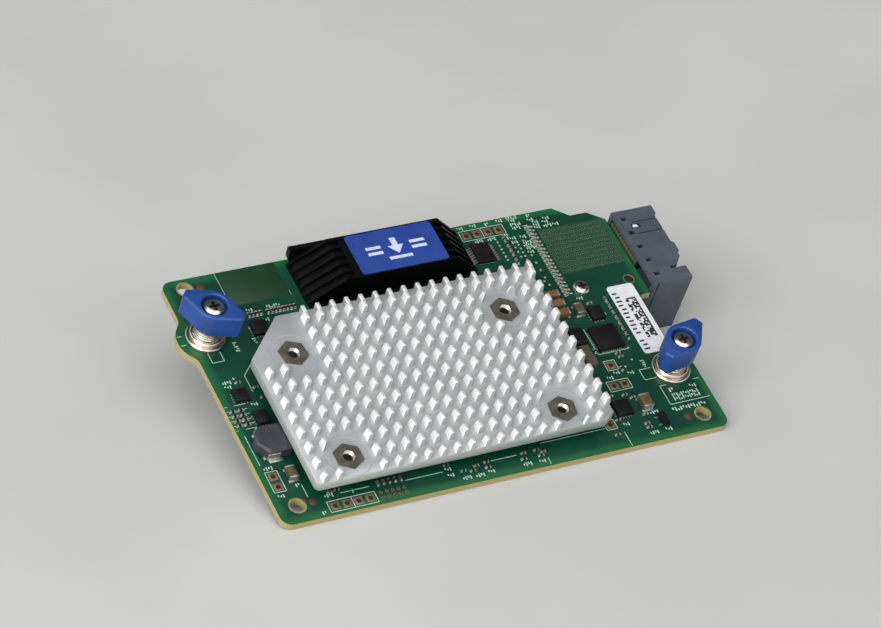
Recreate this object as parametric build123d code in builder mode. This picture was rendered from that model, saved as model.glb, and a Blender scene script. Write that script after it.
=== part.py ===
from build123d import *
import os
from math import dist, sqrt

# Fibre channel host bus adapter for a blade server: a mezzanine card.
# Millimetres. The origin lies midway between the two front tooling holes, on the
# component face of the board. X runs along the front edge, Y to the back, Z up.

# Circuit board. Its width and depth follow from what stands on it.
board_t = 1.6
left_margin = 7.8
right_zone = 26.4
front_margin = 4.2
cap_gap = 4.8
back_margin = 1.45
tooling_d = 3.0
tooling_x = 4.55
tooling_y = 4.05
tooling_back = 2.6
corner_r = 2.2
notch_depth = 2.6
notch_clear = 1.2
notch_gap = 0.1
notch_r = 0.8
tail_step_x = 10.4
tail_step_run = 3.1
tail_step_d = 2.8
tail_chamfer_x = 3.4
tail_chamfer_y = 2.7
lobe_r = 5.9
lobe_fillet = 3.0

# Heat sink with cross-cut rectangular pins, spot-faced round its four standoffs.
sink_w = 66.6
sink_d = 41.2
sink_lift = 3.0
sink_base = 2.3
sink_corner = 9.1
sink_nip = 0.7
sink_nip_x = 2.4
sink_nip_y = 1.5
pin_w = 1.25
pin_l = 1.7
pin_h = 1.8
pin_pitch_x = 3.22
pin_pitch_y = 3.8
pin_border = 2.0
pin_side_gap = 0.9
last_pin_l = 3.2
count_slack = 0.02
spot_r = 4.9
nut_x = 8.65
nut_y = 4.75
nut_right = 10.25
nut_back = 9.9
nut_flats = 5.5
nut_seat = 1.2
nut_proud = 0.3
nut_turns = (30.0, 22.0, 37.0, 28.0)
standoff_flats = 4.2
sink_thread_r = 1.25
sink_screw_sunk = 0.7
sink_head_r = 2.3
sink_head_h = 1.5
fit = 0.05
hole_play = 0.25

# Controller under the heat sink.
chip_side = 27.0
chip_h = 1.3
lid_side = 21.0
lid_h = 1.3

# Ribbed press cap behind the heat sink, with its label.
cap_left = 27.4
cap_right = 8.1
cap_d = 11.15
cap_h = 6.0
cap_lip = 0.6
cap_ramp_left = 7.5
cap_ramp_right = 5.6
groove_n = 5
ridge_w = 0.7
groove_depth = 0.9
groove_run = 2.3
flange_len = 8.0
flange_t = 1.15
flange_h = 4.45
flange_r = 2.6
label_t = 0.1
press_label_d = 10.4
press_label_r = 0.8
press_label_inset = 3.9
press_label_end = 2.1

# Mezzanine plug under the cap.
plug_w = 36.0
plug_d = 8.6
plug_h = 6.6
plug_wall = 1.3
plug_rib = 2.6
plug_slot_depth = 5.2
plug_foot = 0.8
contact_pitch = 1.6
contact_w = 0.6
contact_t = 0.35
contact_short = 0.6

# Right-angle midplane connector at the right edge.
mid_gap = 0.4
mid_x = 9.3
mid_len = 20.5
mid_back = 6.0
mid_top = 2.4
mid_bottom = 13.3
mid_wall = 0.9
mid_roof = 1.0
mid_pocket = 3.2
mid_key = 0.55
mid_key_w = 2.3
mid_pitch = 3.88
mid_window_x = 0.9
mid_window_y = 1.4
mid_window_in = 1.95
mid_windows = 5
mid_slit = 0.65
mid_slit_depth = 3.6
mid_slit_at = 3.6
mid_mouth = 2.4
mid_score = 0.3
mid_port_w = 0.7
mid_port_h = 10.8
mid_port_depth = 2.4
mid_port_n = 7
mid_guide_x = 17.2
mid_wafer_x = 16.2
mid_wafer_rise = 0.6
mid_wafer_gap = 0.15
mid_modules = 3
peg_r = 1.0
peg_x = 2.8
peg_in = 4.5
peg_recess = 0.5
mid_screw_x = 14.5
mid_screw_in = 4.4
mid_screw_r = 1.1
mid_screw_len = 7.0
mid_head_r = 1.85
mid_head_h = 1.2
mid_head_edge = 0.45
drive_w = 0.5
drive_len = 2.0
drive_depth = 0.6

# Spring-loaded captive thumbscrews.
left_screw_x = 3.5
left_screw_y = 15.4
right_screw_x = 5.8
right_screw_y = 16.3
left_turn = -44.0
right_turn = 33.0
ferrule_r = 3.0
ferrule_flange_r = 4.1
ferrule_flange_h = 0.9
ferrule_step_r = 3.4
ferrule_step_h = 0.8
ferrule_neck_r = 2.8
ferrule_neck_h = 2.9
ferrule_floor = 1.2
ferrule_foot = 0.4
screw_neck_r = 1.1
screw_thread_r = 1.5
screw_thread_len = 3.4
screw_tip = 0.4
screw_head_r = 2.2
screw_head_h = 1.3
knob_lift = 0.6
knob_len = 12.9
knob_w = 7.7
knob_end = 2.0
knob_h = 5.0
knob_side_r = 4.0
knob_end_r = 0.5
knob_edge = 0.45
knob_recess_r = 2.7
knob_recess_depth = 1.7
knob_web = 0.9
slide_play = 0.3
spring_wire = 0.45
spring_play = 0.12

# Surface-mounted parts.
end_metal = 0.35
inductor_x = 4.9
inductor_y = 18.9
inductor_side = 6.6
inductor_h = 2.8
inductor_nose = 1.75
inductor_flat = 1.2
inductor_tab = 2.6
inductor_tab_in = 1.7
inductor_tab_t = 0.3
inductor_edge = 0.4
choke_x = 23.3
choke_y = 15.7
choke_w = 2.4
choke_d = 5.2
choke_h = 1.6
ic_h = 0.9
memory_gap = 0.4
memory_in = 1.6
memory_w = 4.1
memory_d = 5.0
memory_h = 1.0
memory_foot = 0.9
memory_pitch = 0.65
lead_w = 0.3
lead_t = 0.15
sot_x = 13.8
sot_y = 4.6
sot_w = 1.4
sot_d = 2.9
serial_w = 6.3
serial_r = 0.8
serial_x = 2.8
serial_clear = 0.9
serial_over = 3.4
resistor_h = 0.4
resistor_l = 1.1
resistor_w = 0.55
array_pitch = 0.85
ladder_n = 19
ladder_pitch = 1.05

# Derived places.
board_w = left_margin + sink_w + right_zone
board_d = front_margin + sink_d + cap_gap + cap_d + back_margin
left = -board_w / 2
right = board_w / 2
front = -tooling_y
back = front + board_d
sink_x0 = left + left_margin
sink_x1 = sink_x0 + sink_w
sink_y0 = front + front_margin
sink_y1 = sink_y0 + sink_d
sink_top = sink_lift + sink_base
cap_x0 = left + cap_left
cap_x1 = sink_x1 - cap_right
cap_y0 = sink_y1 + cap_gap
cap_y1 = cap_y0 + cap_d
tooling_holes = [
    (left + tooling_x, front + tooling_y),
    (right - tooling_x, front + tooling_y),
    (left + tooling_x, back - tooling_back),
]
nut_pitch_x = sink_w - nut_x - nut_right
nut_pitch_y = sink_d - nut_y - nut_back
nut_spots = [
    (sink_x0 + nut_x + i * nut_pitch_x, sink_y0 + nut_y + j * nut_pitch_y)
    for j in (0, 1)
    for i in (0, 1)
]
chip_centre = (nut_spots[0][0] + nut_pitch_x / 2, nut_spots[0][1] + nut_pitch_y / 2)
left_screw_at = (left + left_screw_x, back - left_screw_y)
right_screw_at = (right - right_screw_x, front + right_screw_y)
mid_x0 = right + mid_gap
mid_x1 = mid_x0 + mid_x
mid_y1 = back - mid_back
mid_y0 = mid_y1 - mid_len
mid_split = mid_y1 - mid_wall - mid_modules * mid_pitch
mid_screw_at = (right - mid_screw_x, mid_y0 + mid_screw_in)
peg_at = (right - peg_x, mid_y0 + peg_in)
notch_y0 = right_screw_at[1] + ferrule_flange_r + notch_clear
notch_len = mid_y0 - notch_gap - notch_y0
serial_y0 = right_screw_at[1] + ferrule_flange_r + serial_clear
serial_d = mid_y0 + serial_over - serial_y0

os.makedirs("parts", exist_ok=True)


def finish(node, name):
    """Label one finished piece and write it."""
    node.part.label = name
    export_step(node.part, "parts/" + name + ".step")


def middle(x0, y0, w, d):
    """Centre of a rectangle given by its front left corner and its sides."""
    return (x0 + w / 2, y0 + d / 2)


def nut_hexes(flats):
    """Draw one hexagon for each standoff, each at its own turn."""
    for spot, turn in zip(nut_spots, nut_turns):
        with Locations(Location((spot[0], spot[1], 0), (0, 0, turn))):
            RegularPolygon(flats / 2, 6, major_radius=False)


def disc(z, radius, height, *spots):
    """Add upright cylinders of one size that start at height z."""
    with BuildSketch(Plane.XY.offset(z)) as plan:
        with Locations(*spots):
            Circle(radius)
    extrude(plan.sketch, amount=height)


def drill(z, radius, depth, *spots):
    """Cut upright round holes of one size downwards from height z."""
    with BuildSketch(Plane.XY.offset(z)) as plan:
        with Locations(*spots):
            Circle(radius)
    extrude(plan.sketch, amount=-depth, mode=Mode.SUBTRACT)


def slab(z, height, x0, y0, x1, y1):
    """Add an upright block between two corners that starts at height z."""
    with BuildSketch(Plane.XY.offset(z)) as plan:
        with Locations(middle(x0, y0, x1 - x0, y1 - y0)):
            Rectangle(x1 - x0, y1 - y0)
    extrude(plan.sketch, amount=height)


def pocket(z, height, x0, y0, x1, y1):
    """Cut an upright block between two corners that starts at height z."""
    with BuildSketch(Plane.XY.offset(z)) as plan:
        with Locations(middle(x0, y0, x1 - x0, y1 - y0)):
            Rectangle(x1 - x0, y1 - y0)
    extrude(plan.sketch, amount=height, mode=Mode.SUBTRACT)


# Circuit board: outline with a lobe round the left thumbscrew, a notch on the right
# and a stepped back right corner.
with BuildPart() as circuit_board:
    with BuildSketch(Plane.XY.offset(-board_t)) as outline:
        with Locations(middle(left, front, board_w, board_d)):
            Rectangle(board_w, board_d)
        fillet(outline.vertices().group_by(Axis.X)[0], radius=corner_r)
        fillet(outline.vertices().sort_by(Axis.X)[-2:].sort_by(Axis.Y)[0], radius=corner_r)
        with Locations(left_screw_at):
            Circle(lobe_r)
        lobe_ends = outline.vertices().filter_by(
            lambda v: abs(v.X - left) < 0.01 and abs(v.Y - left_screw_at[1]) < lobe_r
        )
        fillet(lobe_ends, radius=lobe_fillet)
        Polygon(
            (right - tail_step_x, back),
            (right - tail_step_x + tail_step_run, back - tail_step_d),
            (right - tail_chamfer_x, back - tail_step_d),
            (right, back - tail_step_d - tail_chamfer_y),
            (right, back),
            align=None,
            mode=Mode.SUBTRACT,
        )
        with Locations(middle(right - notch_depth, notch_y0, 2 * notch_depth, notch_len)):
            Rectangle(2 * notch_depth, notch_len, mode=Mode.SUBTRACT)
        notch_ends = outline.vertices().filter_by(lambda v: abs(v.X - right + notch_depth) < 0.01)
        fillet(notch_ends.filter_by_position(Axis.Y, front, mid_y1), radius=notch_r)
    extrude(amount=board_t)
    drill(0, tooling_d / 2, board_t, *tooling_holes)
    drill(0, ferrule_r + fit, board_t, left_screw_at, right_screw_at)
    drill(0, sink_thread_r + hole_play, board_t, *nut_spots)
    drill(0, mid_screw_r + hole_play, board_t, mid_screw_at)
    drill(0, peg_r + fit, board_t, peg_at)
finish(circuit_board, "circuit_board")

# Heat sink: chamfered base plate with columns of pins. The pins stay off the long chamfer,
# the spot-faces cut into the pins round them, and the last row runs to the back edge.
pin_cols = int((sink_w - pin_side_gap - pin_w) / pin_pitch_x + count_slack) + 1
pin_rows = int((sink_d - last_pin_l) / pin_pitch_y + count_slack) + 1
with BuildPart() as heat_sink:
    with BuildSketch(Plane.XY.offset(sink_lift)) as sink_plan:
        with Locations(middle(sink_x0, sink_y0, sink_w, sink_d)):
            Rectangle(sink_w, sink_d)
        chamfer(sink_plan.vertices().sort_by(Axis.X)[:2].sort_by(Axis.Y)[-1], sink_corner)
        chamfer(sink_plan.vertices().sort_by(Axis.X)[0:2].sort_by(Axis.Y)[0], sink_nip)
        Polygon(
            (sink_x1 - sink_nip_x, sink_y0),
            (sink_x1, sink_y0),
            (sink_x1, sink_y0 + sink_nip_y),
            align=None,
            mode=Mode.SUBTRACT,
        )
    extrude(amount=sink_base)
    with BuildSketch(Plane.XY.offset(sink_top)):
        for row in range(pin_rows):
            y0 = sink_y0 + row * pin_pitch_y
            length = sink_y1 - y0 if row == pin_rows - 1 else pin_l
            for col in range(pin_cols):
                x0 = sink_x1 - pin_w - col * pin_pitch_x
                cut = (x0 - sink_x0) + (sink_y1 - y0 - length)
                nip = (sink_x1 - x0 - pin_w) + (y0 - sink_y0)
                if cut < sink_corner + pin_border * sqrt(2) or nip < sink_nip_x:
                    continue
                if any(dist(middle(x0, y0, pin_w, length), spot) < spot_r for spot in nut_spots):
                    continue
                with Locations(middle(x0, y0, pin_w, length)):
                    Rectangle(pin_w, length)
        with Locations(*nut_spots):
            Circle(spot_r, mode=Mode.SUBTRACT)
    extrude(amount=pin_h)
    with BuildSketch(Plane.XY.offset(sink_top)):
        nut_hexes(nut_flats + 2 * fit)
    extrude(amount=-nut_seat, mode=Mode.SUBTRACT)
    with BuildSketch(Plane.XY.offset(sink_top)):
        nut_hexes(standoff_flats + 2 * fit)
    extrude(amount=-sink_base, mode=Mode.SUBTRACT)
finish(heat_sink, "heat_sink")

# Hex standoffs pressed into the heat sink; they stand on the board.
with BuildPart() as heat_sink_standoffs:
    with BuildSketch(Plane.XY.offset(sink_top - nut_seat)):
        nut_hexes(nut_flats)
    extrude(amount=nut_seat + nut_proud)
    with BuildSketch(Plane.XY):
        nut_hexes(standoff_flats)
    extrude(amount=sink_top - nut_seat)
    drill(sink_top + nut_proud, sink_thread_r + fit, sink_top + nut_proud, *nut_spots)
finish(heat_sink_standoffs, "heat_sink_standoffs")

# Screws that come up through the board into the standoffs.
with BuildPart() as heat_sink_screws:
    disc(-board_t - sink_head_h, sink_head_r, sink_head_h, *nut_spots)
    disc(-board_t, sink_thread_r, board_t + sink_top + nut_proud - sink_screw_sunk, *nut_spots)
finish(heat_sink_screws, "heat_sink_screws")

# Controller: package, lid and the pad that carries heat to the sink.
with BuildPart() as controller_package:
    with BuildSketch(Plane.XY):
        with Locations(chip_centre):
            Rectangle(chip_side, chip_side)
    extrude(amount=chip_h)
finish(controller_package, "controller_package")

with BuildPart() as controller_lid:
    with BuildSketch(Plane.XY.offset(chip_h)):
        with Locations(chip_centre):
            RectangleRounded(lid_side, lid_side, corner_r / 2)
    extrude(amount=lid_h)
finish(controller_lid, "controller_lid")

with BuildPart() as thermal_pad:
    with BuildSketch(Plane.XY.offset(chip_h + lid_h)):
        with Locations(chip_centre):
            Rectangle(lid_side - corner_r, lid_side - corner_r)
    extrude(amount=sink_lift - chip_h - lid_h)
finish(thermal_pad, "thermal_pad")

# Press cap: a block with ramped ends, grooved along X, and a low flange behind the left ramp.
cap_top_x0 = cap_x0 + cap_ramp_left
cap_top_x1 = cap_x1 - cap_ramp_right
press_label_w = cap_top_x1 - cap_top_x0 - press_label_inset - press_label_end
groove_w = (cap_d - (groove_n + 1) * ridge_w) / groove_n
with BuildPart() as press_cap:
    with BuildSketch(Plane.XZ.offset(-cap_y0)):
        Polygon(
            (cap_x0, 0),
            (cap_x1, 0),
            (cap_x1, cap_lip),
            (cap_top_x1, cap_h),
            (cap_top_x0, cap_h),
            (cap_x0, cap_lip),
            align=None,
        )
    extrude(amount=-cap_d)
    for i in range(groove_n):
        with BuildSketch(Plane.XZ.offset(-cap_y0 - ridge_w - i * (groove_w + ridge_w))):
            Polygon(
                (cap_top_x0 + groove_run, cap_h + groove_depth),
                (cap_top_x0 + groove_run, cap_h - groove_depth),
                (cap_top_x0 + groove_depth, cap_h - groove_depth),
                (cap_x0 + groove_depth, cap_lip),
                (cap_x0, cap_lip),
                (cap_x0, cap_h + groove_depth),
                align=None,
            )
            Polygon(
                (cap_top_x1 - groove_run, cap_h + groove_depth),
                (cap_top_x1 - groove_run, cap_h - groove_depth),
                (cap_top_x1 - groove_depth, cap_h - groove_depth),
                (cap_x1 - groove_depth, cap_lip),
                (cap_x1, cap_lip),
                (cap_x1, cap_h + groove_depth),
                align=None,
            )
        extrude(amount=-groove_w, mode=Mode.SUBTRACT)
    with BuildSketch(Plane.XZ.offset(-cap_y1)) as flange_face:
        with Locations(middle(cap_x0, 0, flange_len, flange_h)):
            Rectangle(flange_len, flange_h)
        fillet(flange_face.vertices().sort_by(Axis.X)[:2].sort_by(Axis.Z)[-1], radius=flange_r)
    extrude(amount=-flange_t)
finish(press_cap, "press_cap")

with BuildPart() as press_label:
    with BuildSketch(Plane.XY.offset(cap_h)):
        with Locations((cap_top_x0 + press_label_inset + press_label_w / 2, (cap_y0 + cap_y1) / 2)):
            RectangleRounded(press_label_w, press_label_d, press_label_r)
    extrude(amount=label_t)
finish(press_label, "press_label")

# Mezzanine plug under the board, right below the cap: a shell with a rib down the middle
# and contacts along both sides of the rib.
plug_at = ((cap_x0 + cap_x1) / 2, (cap_y0 + cap_y1) / 2)
plug_slot = (plug_d - 2 * plug_wall - plug_rib) / 2
plug_face = -board_t - plug_h
with BuildPart() as mezzanine_plug:
    with BuildSketch(Plane.XY.offset(plug_face)) as plug_plan:
        with Locations(plug_at):
            Rectangle(plug_w, plug_d)
        chamfer(plug_plan.vertices().group_by(Axis.X)[0], plug_foot)
    extrude(amount=plug_h)
    with BuildSketch(Plane.XY.offset(plug_face)):
        with Locations(plug_at):
            with GridLocations(0, plug_rib + plug_slot, 1, 2):
                Rectangle(plug_w - 2 * plug_wall, plug_slot)
    extrude(amount=plug_slot_depth, mode=Mode.SUBTRACT)
finish(mezzanine_plug, "mezzanine_plug")

contact_n = int((plug_w - 2 * plug_wall - 2 * contact_w) / contact_pitch) + 1
with BuildPart() as mezzanine_contacts:
    with BuildSketch(Plane.XY.offset(plug_face + contact_short)):
        with Locations(plug_at):
            with GridLocations(contact_pitch, plug_rib + contact_t, contact_n, 2):
                Rectangle(contact_w, contact_t)
    extrude(amount=plug_slot_depth - contact_short)
finish(mezzanine_contacts, "mezzanine_contacts")

# Midplane connector housing: a shroud beyond the board edge that rises above the board, open
# towards the board, and a guide block under the board with a screw hole and a peg.
with BuildPart() as midplane_housing:
    with BuildSketch(Plane.XY.offset(-mid_bottom)) as shroud:
        with Locations(middle(mid_x0, mid_y0, mid_x, mid_len)):
            Rectangle(mid_x, mid_len)
        for y0 in (mid_y1 - mid_key_w, mid_split - mid_key_w / 4):
            Polygon(
                (mid_x1, y0 - mid_key),
                (mid_x1 + mid_key, y0),
                (mid_x1 + mid_key, min(y0 + mid_key_w, mid_y1)),
                (mid_x1, min(y0 + mid_key_w + mid_key, mid_y1)),
                align=None,
            )
        slit_y = mid_y0 + mid_slit_at
        Polygon(
            (mid_x1 - mid_slit_depth, slit_y - mid_slit / 2),
            (mid_x1, slit_y - mid_slit / 2),
            (mid_x1, slit_y + mid_slit + 2 * mid_wall),
            (mid_x1 - 2 * mid_wall, slit_y + mid_slit / 2),
            (mid_x1 - mid_slit_depth, slit_y + mid_slit / 2),
            align=None,
            mode=Mode.SUBTRACT,
        )
    extrude(amount=mid_bottom + mid_top)
    pocket(
        -mid_bottom + mid_wall,
        mid_bottom + mid_top - mid_roof - mid_wall,
        mid_x0,
        mid_y0 + mid_wall,
        mid_x0 + mid_pocket,
        mid_y1 - mid_wall,
    )
    slab(
        -mid_bottom,
        mid_bottom - board_t,
        right - mid_guide_x,
        mid_y0,
        mid_x0 + mid_pocket,
        mid_split - mid_wafer_gap,
    )
    pocket(
        -mid_bottom,
        mid_bottom + mid_top - mid_roof,
        mid_x1 - mid_slit_depth,
        slit_y - mid_slit / 2,
        mid_x1 + mid_key,
        slit_y + mid_mouth,
    )
    disc(-board_t, peg_r, board_t - peg_recess, peg_at)
    drill(-board_t, mid_screw_r + fit, mid_screw_len, mid_screw_at)
    window_x = mid_x0 + mid_window_in
    for i in range(mid_windows):
        y = mid_y1 - mid_wall - mid_window_y - i * mid_pitch
        pocket(
            mid_top - mid_roof,
            mid_roof,
            window_x - mid_window_y / 2,
            y - mid_window_x / 2,
            window_x + mid_window_y / 2,
            y + mid_window_x / 2,
        )
    for y in (mid_y1 - mid_wall - 2 * mid_window_y, mid_y1 - 2 * mid_pitch + mid_window_x):
        pocket(mid_top - mid_score, mid_score, mid_x0 + mid_pocket, y, mid_x1 + mid_key, y + mid_score)
    pocket(
        -mid_bottom,
        mid_bottom + mid_top,
        mid_x0 + mid_wall,
        mid_y0,
        mid_x0 + mid_wall + mid_score,
        mid_y0 + mid_score,
    )
    for i in range(mid_port_n):
        y = mid_y1 - 2 * mid_wall - i * mid_pitch / 2
        pocket(
            -mid_bottom + mid_wall,
            mid_port_h,
            mid_x1 + mid_key - mid_port_depth,
            y - mid_port_w,
            mid_x1 + mid_key,
            y,
        )
finish(midplane_housing, "midplane_housing")

# Contact wafers of the midplane connector: under the board, then up inside the shroud.
with BuildPart() as midplane_wafers:
    for i in range(mid_modules):
        y0 = mid_split + i * mid_pitch
        y1 = y0 + mid_pitch - mid_wafer_gap
        slab(
            -mid_bottom + mid_wall + mid_wafer_gap,
            mid_bottom - mid_wall - mid_wafer_gap - board_t,
            right - mid_wafer_x,
            y0,
            mid_x0 + mid_pocket - mid_wafer_gap,
            y1,
        )
        slab(
            -board_t,
            board_t + mid_wafer_rise,
            mid_x0 + mid_wafer_gap,
            y0,
            mid_x0 + mid_pocket - mid_wafer_gap,
            y1,
        )
finish(midplane_wafers, "midplane_wafers")

# Pan-head screw that holds the connector to the board.
with BuildPart() as connector_screw:
    disc(0, mid_head_r, mid_head_h, mid_screw_at)
    chamfer(connector_screw.edges().group_by(Axis.Z)[-1], mid_head_edge)
    disc(-board_t - mid_screw_len + 2 * fit, mid_screw_r, board_t + mid_screw_len - 2 * fit, mid_screw_at)
    with BuildSketch(Plane.XY.offset(mid_head_h)):
        with Locations(mid_screw_at):
            Rectangle(drive_len, drive_w)
            Rectangle(drive_w, drive_len)
    extrude(amount=-drive_depth, mode=Mode.SUBTRACT)
finish(connector_screw, "connector_screw")

# Captive thumbscrews: ferrule, screw, spring and lozenge knob, one set on each side.
ferrule_top = ferrule_flange_h + ferrule_step_h + ferrule_neck_h
knob_z = ferrule_top + knob_lift
knob_top = knob_z + knob_h
knob_floor = knob_top - knob_recess_depth
knob_roof = knob_floor - knob_web
spring_r = ferrule_neck_r - spring_wire - spring_play
ferrule_bore_r = screw_neck_r + hole_play


def make_ferrule(spot):
    """Stepped bush pressed into the board, with a spring pocket in its top."""
    with BuildPart() as ferrule:
        disc(-board_t - ferrule_foot, ferrule_r, board_t + ferrule_foot, spot)
        disc(0, ferrule_flange_r, ferrule_flange_h, spot)
        disc(ferrule_flange_h, ferrule_step_r, ferrule_step_h, spot)
        disc(ferrule_flange_h + ferrule_step_h, ferrule_neck_r, ferrule_neck_h, spot)
        drill(ferrule_top, spring_r + spring_play, ferrule_top - ferrule_floor, spot)
        drill(ferrule_top, ferrule_bore_r, ferrule_top + board_t + ferrule_foot, spot)
    return ferrule


def make_screw(spot):
    """Screw with a head in the knob, a thin neck in the ferrule and a thicker thread below."""
    shoulder = -board_t - ferrule_foot - fit
    with BuildPart() as screw:
        disc(shoulder - screw_thread_len, screw_thread_r, screw_thread_len, spot)
        chamfer(screw.edges().group_by(Axis.Z)[0], screw_tip)
        disc(shoulder, screw_neck_r, knob_floor - shoulder, spot)
        disc(knob_floor, screw_head_r, screw_head_h, spot)
        with BuildSketch(Plane.XY.offset(knob_floor + screw_head_h)):
            with Locations(spot):
                Rectangle(drive_len + drive_w, drive_w)
                Rectangle(drive_w, drive_len + drive_w)
        extrude(amount=-drive_depth, mode=Mode.SUBTRACT)
    return screw


def make_spring(spot):
    """Envelope of the coil spring between the ferrule floor and the roof of the knob."""
    with BuildPart() as spring:
        disc(ferrule_floor, spring_r, knob_roof - ferrule_floor, spot)
        drill(knob_roof, spring_r - spring_wire, knob_roof - ferrule_floor, spot)
    return spring


def make_knob(spot, turn):
    """Lozenge knob with cut ends, a recess for the screw head and a pocket for the ferrule."""
    place = Plane.XY.offset(knob_z) * Location((spot[0], spot[1], 0), (0, 0, turn))
    half = knob_len / 2
    tip = knob_end / 2
    slope = sqrt(half**2 + (knob_w / 2 - tip) ** 2) / half
    apex = knob_w / 2 + knob_side_r * (slope - 1)
    with BuildPart() as knob:
        with BuildSketch(place) as lozenge:
            Polygon(
                (half, -tip), (half, tip), (0, apex), (-half, tip), (-half, -tip), (0, -apex), align=None
            )
            fillet(lozenge.vertices().group_by(SortBy.DISTANCE)[0], radius=knob_side_r)
            fillet(lozenge.vertices().filter_by(lambda v: abs(abs(v.X) - half) < 0.01), radius=knob_end_r)
        extrude(amount=knob_h)
        chamfer(knob.edges().group_by(Axis.Z)[-1], knob_edge)
        drill(knob_top, knob_recess_r, knob_recess_depth, spot)
        drill(knob_top, screw_neck_r + fit, knob_h, spot)
        drill(knob_roof, ferrule_neck_r + slide_play, knob_roof - knob_z, spot)
    return knob


for side, spot, turn in (("left", left_screw_at, left_turn), ("right", right_screw_at, right_turn)):
    finish(make_ferrule(spot), side + "_ferrule")
    finish(make_screw(spot), side + "_screw")
    finish(make_spring(spot), side + "_spring")
    finish(make_knob(spot, turn), side + "_knob")

# Power inductor: square moulded body cut to a nose on its left, on a metal tab at each end.
inductor_at = (left + inductor_x, front + inductor_y)
inductor_half = inductor_side / 2
with BuildPart() as power_inductor:
    with BuildSketch(Plane.XY.offset(inductor_tab_t)):
        with Locations(inductor_at):
            Polygon(
                (inductor_half, -inductor_half),
                (inductor_half, inductor_half),
                (inductor_nose - inductor_half, inductor_half),
                (-inductor_half, inductor_flat / 2),
                (-inductor_half, -inductor_flat / 2),
                (inductor_nose - inductor_half, -inductor_half),
                align=None,
            )
    extrude(amount=inductor_h - inductor_tab_t)
    chamfer(power_inductor.edges().group_by(Axis.Z)[-1], inductor_edge)
finish(power_inductor, "power_inductor")

with BuildPart() as inductor_tabs:
    with BuildSketch(Plane.XY):
        with Locations(inductor_at):
            with GridLocations(0, inductor_side - inductor_tab_in, 1, 2):
                Rectangle(inductor_tab, inductor_tab_in + 2 * inductor_tab_t)
    extrude(amount=inductor_tab_t)
finish(inductor_tabs, "inductor_tabs")

# Leadless chips: centre x, centre y, width, depth, each from the edge it stands by.
chips = [
    (left + 4.4, front + 31.7, 3.0, 3.0),
    (left + 6.3, front + 25.6, 2.8, 3.2),
    (left + 15.2, sink_y1 + 1.5, 3.4, 3.4),
    (right - 15.6, mid_y0 - 9.2, 6.0, 6.0),
    (right - 14.6, mid_y0 - 2.7, 3.0, 3.3),
    (right - 21.5, mid_y0 - 7.7, 2.9, 4.2),
    (right - 21.0, front + 9.3, 3.7, 3.7),
]
with BuildPart() as leadless_chips:
    for x, y, w, d in chips:
        slab(0, ic_h, x - w / 2, y - d / 2, x + w / 2, y + d / 2)
finish(leadless_chips, "leadless_chips")

with BuildPart() as small_choke:
    choke_at = (right - choke_x, mid_y0 - choke_y)
    slab(0, choke_h, *choke_at, choke_at[0] + choke_w, choke_at[1] + choke_d)
    chamfer(small_choke.edges().group_by(Axis.Z)[-1], inductor_tab_t)
finish(small_choke, "small_choke")

# Memory chip with gull-wing leads down both long sides.
memory_at = (cap_x1 + memory_gap + memory_foot + memory_w / 2, cap_y0 + memory_in + memory_d / 2)
memory_leads_n = int(memory_d / memory_pitch)
with BuildPart() as memory_chip:
    with BuildSketch(Plane.XY.offset(lead_t)):
        with Locations(memory_at):
            Rectangle(memory_w, memory_d)
    extrude(amount=memory_h - lead_t)
    chamfer(memory_chip.edges().group_by(Axis.Z)[-1], lead_t)
finish(memory_chip, "memory_chip")

with BuildPart() as memory_leads:
    for side in (-1, 1):
        wall = memory_at[0] + side * memory_w / 2
        knee = wall + side * memory_foot / 2
        toe = wall + side * memory_foot
        waist = memory_h / 2
        for i in range(memory_leads_n):
            y = memory_at[1] + (i - (memory_leads_n - 1) / 2) * memory_pitch - lead_w / 2
            with BuildSketch(Plane.XZ.offset(-y)):
                Polygon(
                    (wall, waist),
                    (knee, waist),
                    (knee, lead_t),
                    (toe, lead_t),
                    (toe, 0),
                    (knee - side * lead_t, 0),
                    (knee - side * lead_t, waist - lead_t),
                    (wall, waist - lead_t),
                    align=None,
                )
            extrude(amount=-lead_w)
finish(memory_leads, "memory_leads")

# Three-lead transistor near the right front corner.
sot_at = (right - sot_x, front + sot_y)
with BuildPart() as transistor:
    slab(
        lead_t,
        ic_h,
        sot_at[0] - sot_w / 2,
        sot_at[1] - sot_d / 2,
        sot_at[0] + sot_w / 2,
        sot_at[1] + sot_d / 2,
    )
finish(transistor, "transistor")

with BuildPart() as transistor_leads:
    for side, y in ((-1, -sot_d / 3), (-1, sot_d / 3), (1, 0)):
        x0 = sot_at[0] + side * sot_w / 4
        x1 = sot_at[0] + side * sot_w
        slab(
            0,
            lead_t,
            min(x0, x1),
            sot_at[1] + y - lead_w / 2,
            max(x0, x1),
            sot_at[1] + y + lead_w / 2,
        )
finish(transistor_leads, "transistor_leads")

# Ceramic capacitors: centre x, centre y, size in X, size in Y, height. The metal ends lie
# along the longer side.
capacitors = [
    (left + 6.3, front + 11.2, 1.9, 2.9, 1.4),
    (right - 17.9, mid_y0 - 1.0, 1.8, 2.7, 1.3),
    (right - 15.6, front + 9.4, 2.3, 3.2, 1.6),
]
capacitors += [(right - 22.0, mid_y0 - 1.2 + 2.5 * i, 3.2, 1.7, 1.4) for i in range(3)]
capacitors += [
    (right - 18.1, mid_y0 + 3.9 + ladder_pitch * i, resistor_l, resistor_w, resistor_h)
    for i in range(ladder_n)
]

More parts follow.
